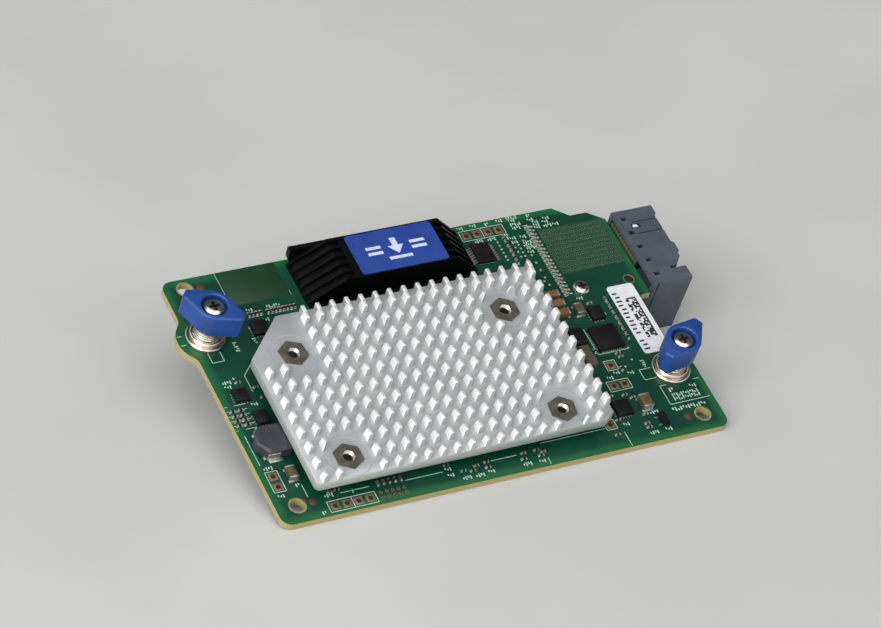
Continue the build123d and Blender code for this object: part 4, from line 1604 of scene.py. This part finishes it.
@dataclass
class PressCapDress:
    """Thin black strip at the foot of the cap, partly its foot and partly painted shade in the gap by the
    sink, and a plain press mark on its label.
    """

    palette: Palette
    lip: float = 2.4
    lip_in: float = 0.3
    lip_h: float = 0.25
    ink: float = 0.015
    sunk: float = 0.005
    tip_in: float = 1.5
    arrow_w: float = 3.6
    arrow_h: float = 2.2
    stem_w: float = 1.3
    stem_h: float = 2.0
    bar_w: float = 5.2
    bar_h: float = 0.75
    bar_gap: float = 1.3
    dash_w: float = 3.4
    dash_gap: float = 0.7
    dash_rows: Pair = (-0.55, 0.9)

    def build(self) -> None:
        """Make the lip and the mark."""
        self.foot()
        self.mark()

    def foot(self) -> None:
        """Thin black strip on the board in front of the cap: the cap's foot, and painted shade in the gap
        by the sink.
        """
        low, high = CARD.box("press_cap")
        piece = Piece("cap_foot_and_gap_shade", self.palette.black)
        start = (low.x + self.lip_in, low.y - self.lip, low.z)
        # Black strip: the cap's foot, with painted shade in the gap between the sink and the cap.
        piece.block(start, (high.x - self.lip_in, low.y + self.lip_in, low.z + self.lip_h))
        piece.place("black_plastic")

    def mark(self) -> None:
        """Arrow down to a bar, with two dashes on each side."""
        top = CARD.box("press_label")[1].z
        x, y = CARD.centre("press_label")
        z0, z1 = top - self.sunk, top + self.ink
        tip = y - self.tip_in
        shoulder = tip + self.arrow_h
        half = self.arrow_w / 2
        piece = Piece("press_mark", self.palette.white_ink)
        piece.plate([(x - half, shoulder), (x, tip), (x + half, shoulder)], z0, z1)
        stem = self.stem_w / 2
        piece.block((x - stem, shoulder, z0), (x + stem, shoulder + self.stem_h, z1))
        foot = tip - self.bar_gap
        piece.block((x - self.bar_w / 2, foot, z0), (x + self.bar_w / 2, foot + self.bar_h, z1))
        for side in (-1, 1):
            near = x + side * (self.bar_w / 2 + self.dash_gap)
            far = near + side * self.dash_w
            for row in self.dash_rows:
                piece.bar((near, y + row), (far, y + row), self.bar_h, z0, z1)
        piece.place("white_paper")


@dataclass
class Thumbscrew:
    """One captive thumbscrew: bush, screw, coil spring and knob."""

    side: Side
    turn: float
    palette: Palette
    bush_foot: tuple[Pair, ...] = (
        (1.36, -2.0), (2.9, -2.0), (3.0, -1.9), (3.0, 0.0), (4.02, 0.0), (4.1, 0.08), (4.1, 0.72),
        (3.92, 0.9), (3.6, 0.9), (3.52, 0.82), (3.4, 0.86), (3.4, 1.52), (3.22, 1.7), (2.92, 1.7),
    )
    bush_lip: tuple[Pair, ...] = (
        (2.8, 4.4), (2.66, 4.6), (2.45, 4.6), (2.36, 4.5), (2.36, 1.2), (1.36, 1.2),
    )
    groove: tuple[Pair, ...] = ((2.8, 0.0), (2.8, 0.22), (2.66, 0.32), (2.66, 0.46))
    groove_from: float = 2.05
    groove_pitch: float = 0.58
    grooves: int = 4
    head_h: float = 1.3
    shank_h: float = 3.4
    recess_len: float = 2.3
    recess_w: float = 0.62
    thread: tuple[Pair, ...] = ((1.16, 0.32), (1.5, 0.55), (1.16, 0.78))
    thread_turns: float = 5.2
    thread_pitch: float = 0.5
    knob_len: float = 12.9
    knob_end: float = 2.0
    knob_apex: float = 4.22
    knob_waist: float = 2.0
    knob_corner: float = 0.33
    knob_edge: float = 0.45
    well_seat: float = 1.7
    well_roof: float = 2.6
    wire: float = 0.45
    wire_sides: int = 8
    wire_gap: float = 0.03
    wire_crease: float = 60.0
    coil_radius: float = 2.0
    coils: float = 6.0
    press_share: float = 0.594

    def name(self, piece: str) -> str:
        """Name a piece of this side."""
        return self.side.value + "_" + piece

    def heights(self, piece: str) -> Pair:
        """Give the lowest and highest point of a CAD node of this side."""
        low, high = CARD.box(self.name(piece))
        return (low.z, high.z)

    def build(self) -> None:
        """Make the four pieces."""
        self.spot = CARD.centre(self.name("screw"))
        self.bush()
        self.screw()
        self.spring()
        self.knob()

    def rider(self) -> Body:
        """Give the body that turns."""
        return Body[self.side.name + "_THUMBSCREW"]

    def bush(self) -> None:
        """Stepped nickel bush with turned grooves round its neck."""
        profile = list(self.bush_foot)
        for i in range(self.grooves):
            profile += lifted(self.groove, self.groove_from + self.groove_pitch * i)
        profile += self.bush_lip
        piece = Piece(self.name("bush"), self.palette.nickel)
        piece.turned(self.spot, profile, 64, closed=True)
        piece.place("nickel", stands_for=(self.name("ferrule"),))

    def screw(self) -> None:
        """Screw with a domed cross-recessed head, a plain neck and a wound thread."""
        tip, top = self.heights("screw")
        seat = top - self.head_h
        shoulder = tip + self.shank_h
        profile = [
            (0.0, tip), (0.95, tip), (1.2, tip + 0.3), (1.2, shoulder - 0.3), (1.5, shoulder - 0.25),
            (1.5, shoulder), (1.1, shoulder), (1.1, seat), (2.15, seat), (2.2, seat + 0.1),
            (2.2, top - 0.62), (2.05, top - 0.32), (1.7, top - 0.12), (1.1, top - 0.02), (0.0, top),
        ]
        recess = (top - 0.85, top + 1.0)
        piece = Piece(self.name("thumb_screw"), self.palette.bright, self.palette.hole_shade_and_dimple)
        piece.turned(self.spot, profile, 48)
        # Cross recess, with painted shade on its walls.
        piece.carve(cross_recess(self.spot, recess, self.recess_len, self.recess_w, self.palette))
        piece.coil(self.spot, lifted(self.thread, tip), self.thread_turns, self.thread_pitch)
        piece.place("bright_steel", self.rider(), (self.name("screw"),))

    def spring(self) -> None:
        """Coil spring on the plunger."""
        low, high = self.heights("spring")
        radius = self.wire / 2
        angles = [2 * math.pi * i / self.wire_sides for i in range(self.wire_sides)]
        middle = low + radius + self.wire_gap
        section = [
            (self.coil_radius + radius * math.cos(a), middle + radius * math.sin(a)) for a in angles
        ]
        pitch = (high - low - self.wire - 2 * self.wire_gap) / self.coils
        piece = Piece(self.name("coil_spring"), self.palette.spring)
        piece.coil(self.spot, section, self.coils, pitch)
        plunger = Body[self.side.name + "_PLUNGER"]
        made = piece.place("spring_steel", plunger, (self.name("spring"),), self.wire_crease)
        anchor = CARD.to_frame() @ Vector((*self.spot, high))
        self.name("press")
        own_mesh(made)

    def knob(self) -> None:
        """Lozenge knob with softened edges, a recess above and a pocket below."""
        low, high = self.heights("knob")
        half, tip, apex = self.knob_len / 2, self.knob_end / 2, self.knob_apex
        corners = [(half, -tip), (half, tip), (0.0, apex), (-half, tip), (-half, -tip), (0.0, -apex)]
        piece = Piece(self.name("lozenge_knob"), self.palette.blue)
        mesh = piece.mesh
        mesh.faces.new([mesh.verts.new((x, y, low)) for x, y in corners])
        for across, offset, segments in ((False, self.knob_corner, 5), (True, self.knob_waist, 10)):
            chosen = [v for v in mesh.verts if (abs(v.co.x) < 0.01) == across]
            soften(mesh, chosen, offset, segments, Bevel.CORNERS)
        floor = mesh.faces[:][0]
        grown = bmesh.ops.extrude_face_region(mesh, geom=[floor], use_keep_orig=True)["geom"]
        tops = [item for item in grown if isinstance(item, bmesh.types.BMVert)]
        bmesh.ops.translate(mesh, verts=tops, vec=(0.0, 0.0, high - low))
        rim = [e for e in mesh.edges if all(v.co.z > high - 0.01 for v in e.verts)]
        soften(mesh, rim, self.knob_edge, 4)
        turn = Matrix.Rotation(math.radians(self.turn), 4, "Z")
        place = Matrix.Translation((*self.spot, 0.0)) @ turn
        bmesh.ops.transform(mesh, matrix=place, verts=mesh.verts[:])
        piece.carve(self.well(low, high))
        piece.place("blue_plastic", self.rider(), (self.name("knob"),))

    def well(self, low: float, high: float) -> Piece:
        """Make the tool that cuts the recess above and the pocket below.

        Args:
            low: Underside of the knob.
            high: Top of the knob.

        Returns:
            The cutting piece.
        """
        seat, roof = high - self.well_seat, high - self.well_roof
        profile = [
            (0.0, high + 1.0), (3.3, high + 1.0), (2.95, high - 0.02), (2.7, high - 0.22), (2.7, seat),
            (1.15, seat), (1.15, roof), (3.1, roof), (3.1, low - 1.0), (0.0, low - 1.0),
        ]
        tool = Piece("well", self.palette.blue)
        tool.turned(self.spot, profile, 56)
        return tool


def cross_recess(spot: Pair, span: Pair, length: float, width: float, palette: Palette) -> Piece:
    """Make the tool that cuts a cross recess.

    Args:
        spot: Middle of the cross in plan.
        span: Lowest and highest point of the tool.
        length: Length of each arm, end to end.
        width: Width of an arm.
        palette: Finishes, of which the recess takes the dark one, painted shade, as its second.

    Returns:
        The cutting piece.
    """
    tool = Piece("recess", palette.bright, palette.hole_shade_and_dimple)
    half, arm = width / 2, length / 2
    points = [
        (half, -arm), (half, -half), (arm, -half), (arm, half), (half, half), (half, arm),
        (-half, arm), (-half, half), (-arm, half), (-arm, -half), (-half, -half), (-half, -arm),
    ]
    # The cut walls take the dark finish: painted shade in the recess.
    tool.plate([(spot[0] + x, spot[1] + y) for x, y in points], *span, 1)
    return tool


@dataclass
class MidplaneDress:
    """Contacts, a dark opening with a painted highlight in the top, and pan-head screw of the midplane
    connector.
    """

    palette: Palette
    blade_pitch: float = 1.94
    blade_from: float = 2.15
    blade_half: float = 0.12
    blade_h: float = 1.1
    blade_span: Pair = (2.38, 0.5)
    blade_edge: float = 0.04
    blades: int = 7
    row_from: float = 2.2
    row_pitch: float = 2.3
    rows: int = 4
    # Place and half size of the dark opening, and outline and height of its painted highlight.
    opening_at: Pair = (104.9, 52.2)
    opening_half: Pair = (1.1, 0.55)
    highlight_shape: tuple[Pair, ...] = ((-0.75, -0.35), (0.5, -0.35), (0.2, 0.35), (-0.75, 0.35))
    highlight_h: float = 0.02
    recess_len: float = 2.0
    recess_w: float = 0.55

    def build(self) -> None:
        """Make the pieces."""
        self.low, self.high = CARD.box("midplane_housing")
        self.contacts()
        self.mark()
        self.screw()

    def contacts(self) -> None:
        """Gold blades in the mouth of the housing."""
        piece = Piece("midplane_blades", self.palette.gold)
        x0, x1 = (self.high.x - depth for depth in self.blade_span)
        for i in range(self.blades):
            y = self.high.y - self.blade_from - self.blade_pitch * i
            for row in range(self.rows):
                z = self.low.z + self.row_from + self.row_pitch * row
                start = (x0, y - self.blade_half, z)
                piece.block(start, (x1, y + self.blade_half, z + self.blade_h), edge=self.blade_edge)
        piece.place("gold_contact")

    def mark(self) -> None:
        """Dark patch of painted shade for an opening in the top of the housing, with a pale painted
        highlight in it.
        """
        piece = Piece("housing_opening_and_highlight", self.palette.paper, self.palette.hole_shade_and_dimple)
        x, y = self.opening_at
        w, d = self.opening_half
        top = self.high.z
        # Dark patch: painted shade of the opening.
        piece.block((x - w, y - d, top - 0.004), (x + w, y + d, top + 0.006), 1)
        # Pale shape: painted highlight.
        piece.plate([(x + px, y + py) for px, py in self.highlight_shape], top, top + self.highlight_h)
        piece.place("white_paper")

    def screw(self) -> None:
        """Domed pan-head screw with a cross recess."""
        spot = CARD.centre("connector_screw")
        low, high = CARD.box("connector_screw")
        top = high.z
        profile = [
            (0.0, low.z), (0.9, low.z), (1.1, low.z + 0.25), (1.1, 0.0), (1.8, 0.0), (1.85, 0.06),
            (1.85, 0.45), (1.74, 0.75), (1.45, 1.0), (0.95, top - 0.05), (0.0, top),
        ]
        recess = (top - 0.7, top + 1.0)
        piece = Piece("pan_head_screw", self.palette.bright, self.palette.hole_shade_and_dimple)
        piece.turned(spot, profile, 48)
        # Cross recess, with painted shade on its walls.
        piece.carve(cross_recess(spot, recess, self.recess_len, self.recess_w, self.palette))
        piece.place("bright_steel", stands_for=("connector_screw",))


@dataclass
class SmallParts:
    """Chips, capacitors and resistors with their solder."""

    palette: Palette
    end_metal: float = 0.35
    end_share: float = 0.28
    edge: float = 0.05
    body_edge: float = 0.03
    fillet: float = 0.22
    fillet_h: float = 0.06
    chip_list: tuple[tuple[Pair, Pair, int], ...] = (
        ((4.4, 31.7), (3.0, 3.0), 4),
        ((6.3, 25.6), (2.8, 3.2), 4),
        ((15.2, 46.9), (3.4, 3.4), 5),
        ((85.2, 27.1), (6.0, 6.0), 10),
        ((86.2, 33.6), (3.0, 3.3), 4),
        ((79.3, 28.6), (2.9, 4.2), 5),
        ((79.8, 9.3), (3.7, 3.7), 5),
    )
    chip_h: Pair = (0.03, 0.9)
    chip_edge: float = 0.08
    dimple_in: float = 0.34
    dimple_radius: float = 0.22
    dimple_h: Pair = (0.88, 0.903)
    pad_share: float = 0.82
    pad_out: float = 0.1
    pad_half: Pair = (0.12, 0.22)
    pad_h: float = 0.05
    pad_edge: float = 0.02
    large_capacitors: tuple[tuple[Pair, Triple], ...] = (
        ((6.3, 11.2), (1.9, 2.9, 1.4)),
        ((82.9, 35.3), (1.8, 2.7, 1.3)),
        ((85.2, 9.4), (2.3, 3.2, 1.6)),
    )
    brown_capacitors: tuple[Run, ...] = (((78.8, 35.1), (0.0, 2.5), 3),)
    brown_size: Triple = (3.2, 1.7, 1.4)
    pale_capacitors: tuple[Run, ...] = (((82.7, 40.2), (0.0, 1.05), 19),)
    pale_size: Triple = (1.1, 0.5, 0.3)
    across: tuple[Run, ...] = (
        ((42.4, 2.9), *ALONE),
        ((45.8, 2.9), *ALONE),
        ((53.9, 2.9), *ALONE),
        ((57.8, 2.9), *ALONE),
        ((1.4, 24.9), (0.0, 1.2), 4),
        ((3.1, 24.9), (0.0, 1.2), 4),
    )
    across_size: Triple = (1.1, 0.55, 0.4)
    along: tuple[Run, ...] = (((14.6, 50.8), (0.85, 0.0), 4), ((18.8, 50.8), (0.85, 0.0), 8))
    along_size: Triple = (0.55, 1.1, 0.4)
    flat: tuple[Pair, ...] = (
        (40.5, 3.4), (43.6, 3.9), (46.0, 4.2), (54.4, 4.3), (57.4, 4.4), (58.6, 3.6), (37.6, 5.6),
        (12.0, 5.4), (13.6, 5.6), (83.4, 4.7), (83.4, 3.7), (79.0, 13.0), (82.2, 12.6), (83.6, 11.6),
        (86.0, 23.0), (86.2, 22.0), (87.9, 33.2), (86.3, 36.7), (5.4, 35.2), (8.4, 33.2), (8.9, 30.6),
        (84.2, 7.0), (77.7, 7.0), (77.9, 11.8), (75.9, 3.6),
    )
    flat_size: Triple = (1.0, 0.5, 0.4)
    upright: tuple[Run, ...] = (
        ((90.2, 26.4), (0.0, 1.5), 8),
        ((76.2, 50.6), (0.0, 1.3), 6),
        ((22.2, 4.9), (HEADER_PITCH / 2, 0.0), 5),
        ((80.4, 22.6), *ALONE),
        ((81.4, 24.6), *ALONE),
        ((84.8, 19.0), *ALONE),
    )
    upright_size: Triple = (0.5, 1.0, 0.4)
    lead_pitch: float = 0.65
    leads: int = 7
    lead_half: Pair = (0.3, 0.2)
    lead_h: float = 0.06
    lead_edge: float = 0.025

    def build(self) -> None:
        """Make the pieces."""
        self.chips()
        self.capacitors()
        self.passives()
        self.decoupling()
        self.memory_dimple()
        self.solder()

    def chips(self) -> None:
        """Leadless chips with a dimple each, on rows of tinned pads."""
        bodies = Piece("leadless_packages", self.palette.chip, self.palette.hole_shade_and_dimple)
        pads = Piece("leadless_pads", self.palette.tin)
        low, high = self.chip_h
        for (x, y), (w, d), count in self.chip_list:
            corner = (x - w / 2, y - d / 2, low)
            bodies.block(corner, (x + w / 2, y + d / 2, high), edge=self.chip_edge)
            dimple = (x - w * self.dimple_in, y + d * self.dimple_in)
            bodies.disc(dimple, self.dimple_radius, self.dimple_h, 16, 1)
            for i in range(count):
                step = (i - (count - 1) / 2) * self.pad_share / count
                for side in (-1, 1):
                    self.tinned(pads, (x + step * w, y + side * (d / 2 + self.pad_out)), self.pad_half)
                    spot = (x + side * (w / 2 + self.pad_out), y + step * d)
                    self.tinned(pads, spot, self.pad_half[::-1])
        bodies.place("chip_black", stands_for=("leadless_chips",))
        pads.place("tin")

    def tinned(self, piece: Piece, spot: Pair, half: Pair) -> None:
        """Add one tinned pad.

        Args:
            piece: The piece to add to.
            spot: Middle of the pad.
            half: Half its size in X and Y.
        """
        x, y = spot
        w, d = half
        piece.block((x - w, y - d, 0.0), (x + w, y + d, self.pad_h), edge=self.pad_edge)

    def two_ended(self, piece: Piece, spot: Pair, size: Triple, finish: int) -> None:
        """Add a two-ended chip part: body, metal ends and the solder under them.

        Args:
            piece: The piece to add to, whose finish 0 is tin.
            spot: Middle of the part.
            size: Its size in X, Y and Z.
            finish: Index of the body's finish.
        """
        w, d, height = size
        along = Vector((1, 0)) if w > d else Vector((0, 1))
        long, short = max(w, d), min(w, d)
        metal = min(self.end_metal, self.end_share * long)
        across = Vector((along.y, along.x)) * short / 2
        middle = Vector(spot)

        def span(ends: Pair, side: float, heights: Pair, kind: int, edge: float) -> None:
            """Add a block along the part between two stations.

            Args:
                ends: The stations.
                side: Its width as a share of the part's.
                heights: Its underside and top.
                kind: Index of the finish.
                edge: Width of its bevel.
            """
            a = middle + along * ends[0] - across * side
            b = middle + along * ends[1] + across * side
            piece.block((a.x, a.y, heights[0]), (b.x, b.y, heights[1]), kind, edge)

        inner = (-long / 2 + metal, long / 2 - metal)
        span(inner, 0.96, (0.04, height * 0.97), finish, self.body_edge)
        for start in (-long / 2, long / 2 - metal):
            span((start, start + metal), 1.0, (0.03, height), 0, self.edge)
        for start in (-long / 2 - self.fillet, long / 2 - metal):
            span((start, start + metal + self.fillet), 1.12, (0.0, self.fillet_h), 0, self.pad_edge)

    def capacitors(self) -> None:
        """The ceramic capacitors of the card, large ones first and then the row by the connector."""
        wear = self.palette
        piece = Piece("ceramic_parts", wear.tin, wear.ceramic, wear.dark_ceramic, wear.pale_ceramic)
        for spot, size in self.large_capacitors:
            self.two_ended(piece, spot, size, 2)
        for spot in places(self.brown_capacitors):
            self.two_ended(piece, spot, self.brown_size, 1)
        for spot in places(self.pale_capacitors):
            self.two_ended(piece, spot, self.pale_size, 3)
        piece.place("capacitor_brown", stands_for=("ceramic_capacitors", "capacitor_ends"))

    def passives(self) -> None:
        """The chip resistors of the card."""
        piece = Piece("small_passives", self.palette.tin, self.palette.chip)
        for runs, size in ((self.across, self.across_size), (self.along, self.along_size)):
            for spot in places(runs):
                self.two_ended(piece, spot, size, 1)
        piece.place("chip_black", stands_for=("chip_resistors", "resistor_ends"))

    def decoupling(self) -> None:
        """The smallest parts, dark and brown ones in turn."""
        wear = self.palette
        piece = Piece("decoupling_parts", wear.tin, wear.chip, wear.dark_ceramic)
        for i, spot in enumerate(self.flat):
            self.two_ended(piece, spot, self.flat_size, 1 + i % 2)
        for i, spot in enumerate(places(self.upright)):
            self.two_ended(piece, spot, self.upright_size, 1 + (i // 2) % 2)
        piece.place("tin")

    def memory_dimple(self) -> None:
        """Dimple in a corner of the leaded chip."""
        low, high = CARD.box("memory_chip")
        piece = Piece("memory_dimple", self.palette.hole_shade_and_dimple)
        spot = (low.x + 0.8, high.y - 0.8)
        piece.disc(spot, 0.3, (high.z - 0.02, high.z + 0.003), 20)
        piece.place("chip_black")

    def solder(self) -> None:
        """Solder round the leads of the leaded chip and the tabs of the inductor."""
        piece = Piece("lead_solder", self.palette.tin)
        low, high = CARD.box("memory_leads")
        middle = CARD.centre("memory_chip")[1]
        w, d = self.lead_half
        for x in (low.x, high.x):
            for i in range(self.leads):
                y = middle + (i - self.leads // 2) * self.lead_pitch
                piece.block((x - w, y - d, 0.0), (x + w, y + d, self.lead_h), edge=self.lead_edge)
        tabs = CARD.box("inductor_tabs")
        body = CARD.box("power_inductor")
        left, right = tabs[0].x, tabs[1].x
        for y, face, out in ((tabs[0].y, body[0].y, -1), (tabs[1].y, body[1].y, 1)):
            piece.block((left - 0.2, y - 0.5, 0.0), (right + 0.2, y + 0.5, 0.24), edge=0.1)
            near, far = sorted((face - out * 0.1, face + out * 0.22))
            piece.block((left - 0.5, near, 0.05), (right - 0.5, far, body[1].z * 0.7), edge=0.09)
            blob = y - out * 0.8
            piece.block((left - 1.1, blob - 0.4, 0.0), (left - 0.3, blob + 0.5, 0.5), edge=0.2)
        piece.place("tin")


@dataclass
class PaperLabel:
    """Plain printed blocks on the white label by the notch."""

    palette: Palette
    ink: float = 0.008
    sunk: float = 0.004
    bars: int = 15
    left_out: int = 3
    bar_from: Pair = (0.45, 1.0)
    bar_pitch: float = 1.08
    bar_w: float = 0.44
    bar_spans: tuple[Pair, ...] = ((0.0, 1.35), (0.25, 1.35), (0.0, 1.05))
    cell: float = 0.36
    cell_from: Pair = (2.65, 3.9)
    columns: int = 7
    rows: int = 30

    def build(self) -> None:
        """Make a column of bars and a field of cells that stand for no code."""
        low, high = CARD.box("serial_label")
        z0, z1 = high.z - self.sunk, high.z + self.ink
        piece = Piece("label_print", self.palette.black_ink)
        x = low.x + self.bar_from[0]
        for i in range(self.bars):
            if i == self.left_out:
                continue
            y = low.y + self.bar_from[1] + self.bar_pitch * i
            start, end = self.bar_spans[i % len(self.bar_spans)]
            piece.block((x + start, y, z0), (x + end, y + self.bar_w, z1))
        for i in range(self.columns):
            for j in range(self.rows):
                if self.is_dark(i, j):
                    cx = low.x + self.cell_from[0] + self.cell * i
                    cy = low.y + self.cell_from[1] + self.cell * j
                    piece.block((cx, cy, z0), (cx + self.cell, cy + self.cell, z1))
        piece.place("white_paper")

    def is_dark(self, i: int, j: int) -> bool:
        """Tell by a short rule whether a cell is dark.

        Args:
            i: Column of the cell.
            j: Row of the cell.

        Returns:
            Whether it is dark.
        """
        speckled = (3 * i * i + 5 * j + i * j) % 7 < 4
        return speckled or (i + 2 * j) % 5 == 0 or i == self.columns - 1


@dataclass
class Studio:
    """Pale floor that the card leans on, soft light and the camera."""

    eye: Triple = (-0.321544, -0.346139, 0.525662)
    ahead: Triple = (0.44660, 0.52754, -0.72267)
    across: Triple = (0.87656, -0.41993, 0.23516)
    lens: float = 146.755
    sensor: float = 36.0
    clip_start: float = 0.01
    aim: Triple = (0.0, 0.027, 0.0)
    floor_side: float = 3.0
    floor_cells: int = 8
    floor_blotch: float = 14.0
    floor_grain: float = 260.0
    floor_depth: float = 0.2
    dark_side: Triple = (0.45, 0.53, 0.72)
    dusk_from: float = 0.1
    dusk_to: float = 0.8
    sky: Colour = (0.98, 0.98, 0.98, 1.0)
    dusk: Colour = (0.08, 0.08, 0.08, 1.0)

    def build(self) -> None:
        """Make the stage."""
        self.floor()
        self.lamps()
        self.world()
        self.camera()

    def floor_matrix(self) -> Matrix:
        """Lay the floor under the board's front edge and the connector's lower front edge.

        Returns:
            The floor's place and tilt.
        """
        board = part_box("circuit_board")[0]
        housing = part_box("midplane_housing")[0]
        run = Vector((0.0, housing.y - board.y, housing.z - board.z))
        tilt = math.atan2(run.z, run.y)
        return Matrix.Translation((0.0, board.y, board.z)) @ Matrix.Rotation(tilt, 4, "X")

    def floor(self) -> None:
        """A wide pale floor, seen only from above."""
        mesh = bmesh.new()
        cells = self.floor_cells
        bmesh.ops.create_grid(mesh, x_segments=cells, y_segments=cells, size=self.floor_side / 2)
        bmesh.ops.transform(mesh, matrix=self.floor_matrix(), verts=mesh.verts[:])
        data = bpy.data.meshes.new("floor")
        mesh.to_mesh(data)
        mesh.free()
        data.materials.append(self.floor_finish())
        made = bpy.data.objects.new("floor", data)
        bpy.context.scene.collection.objects.link(made)
        LOG.info("floor laid")

    def floor_finish(self) -> bpy.types.Material:
        """Matt grey floor with faint blotches, clear from below.

        Returns:
            The new material.
        """
        shade = Shade("pale_floor")
        pale, tint = paint(199, 199, 197), paint(193, 193, 191)
        mottle = shade.effect(Effect.MOTTLE, Scale=self.floor_blotch, Colour=pale, Tint=tint)
        shade.feed(shade.shader, "Base Color", mottle.outputs["Colour"])
        grain = shade.effect(Effect.GRAIN, Scale=self.floor_grain, Roughness=0.7, Spread=0.1)
        shade.feed(shade.shader, "Roughness", grain.outputs["Roughness"])
        shade.relief(grain.outputs["Height"], 0.1, self.floor_depth * MM)
        clear = shade.node("ShaderNodeBsdfTransparent")
        behind = shade.node("ShaderNodeNewGeometry").outputs["Backfacing"]
        both = shade.node(
            "ShaderNodeMixShader", {0: behind, 1: shade.shader.outputs[0], 2: clear.outputs[0]}
        )
        shade.feed(shade.tree.nodes["Material Output"], "Surface", both.outputs[0])
        return shade.material

    def lamp(self, name: str, spot: Triple, size: float, power: float) -> None:
        """Hang a square soft box that faces the card.

        Args:
            name: Name of the lamp.
            spot: Where it hangs.
            size: Side of the square.
            power: Power in watts.
        """
        data = bpy.data.lights.new(name, "AREA")
        data.size = size
        data.energy = power
        made = bpy.data.objects.new(name, data)
        made.location = spot
        ahead = Vector(self.aim) - Vector(spot)
        made.rotation_euler = ahead.to_track_quat("-Z", "Y").to_euler()
        bpy.context.scene.collection.objects.link(made)

    def lamps(self) -> None:
        """A wide key from the left and above, and a wider box overhead."""
        self.lamp("key_box", (-1.7, -0.6, 1.1), 1.6, 32.0)
        self.lamp("top_box", (-0.2, -0.2, 2.0), 2.6, 31.0)

    def world(self) -> None:
        """Even pale surroundings that fall off towards the back right."""
        made = bpy.data.worlds.new("studio")
        made.use_nodes = True
        wiring = Wiring(made.node_tree)
        back = made.node_tree.nodes["Background"]
        facing = wiring.node("ShaderNodeTexCoord").outputs["Generated"]
        inputs = {0: facing, 1: self.dark_side}
        along = wiring.node("ShaderNodeVectorMath", inputs, operation="DOT_PRODUCT").outputs["Value"]
        share = wiring.stretch(along, self.dusk_from, self.dusk_to)
        wiring.feed(back, "Color", wiring.mix(share, self.sky, self.dusk))
        back.inputs["Strength"].default_value = 1.0
        bpy.context.scene.world = made

    def camera(self) -> None:
        """Set the camera where the photograph was taken."""
        ahead = Vector(self.ahead).normalized()
        across = Vector(self.across).normalized()
        up = across.cross(ahead)
        data = bpy.data.cameras.new("camera")
        data.sensor_fit = "HORIZONTAL"
        data.sensor_width = self.sensor
        data.lens = self.lens
        data.clip_start = self.clip_start
        made = bpy.data.objects.new("camera", data)
        turn = Matrix((across, up, -ahead)).transposed().to_4x4()
        made.matrix_world = Matrix.Translation(self.eye) @ turn
        bpy.context.scene.collection.objects.link(made)
        bpy.context.scene.camera = made


def main() -> None:
    """Dress the card, set the stage and report each piece."""
    logging.basicConfig(level=logging.INFO, format="%(message)s")
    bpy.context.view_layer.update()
    bpy.context.scene.view_settings.view_transform = "Standard"
    palette = Palette()
    palette.dress()
    for part in (
        BoardFace(palette),
        HeatSink(palette),
        PressCapDress(palette),
        Thumbscrew(Side.LEFT, -44.0, palette),
        Thumbscrew(Side.RIGHT, 33.0, palette),
        MidplaneDress(palette),
        SmallParts(palette),
        PaperLabel(palette),
        Studio(),
    ):
        part.build()
        LOG.info("built %s", type(part).__name__)


if __name__ == "__main__":
    main()
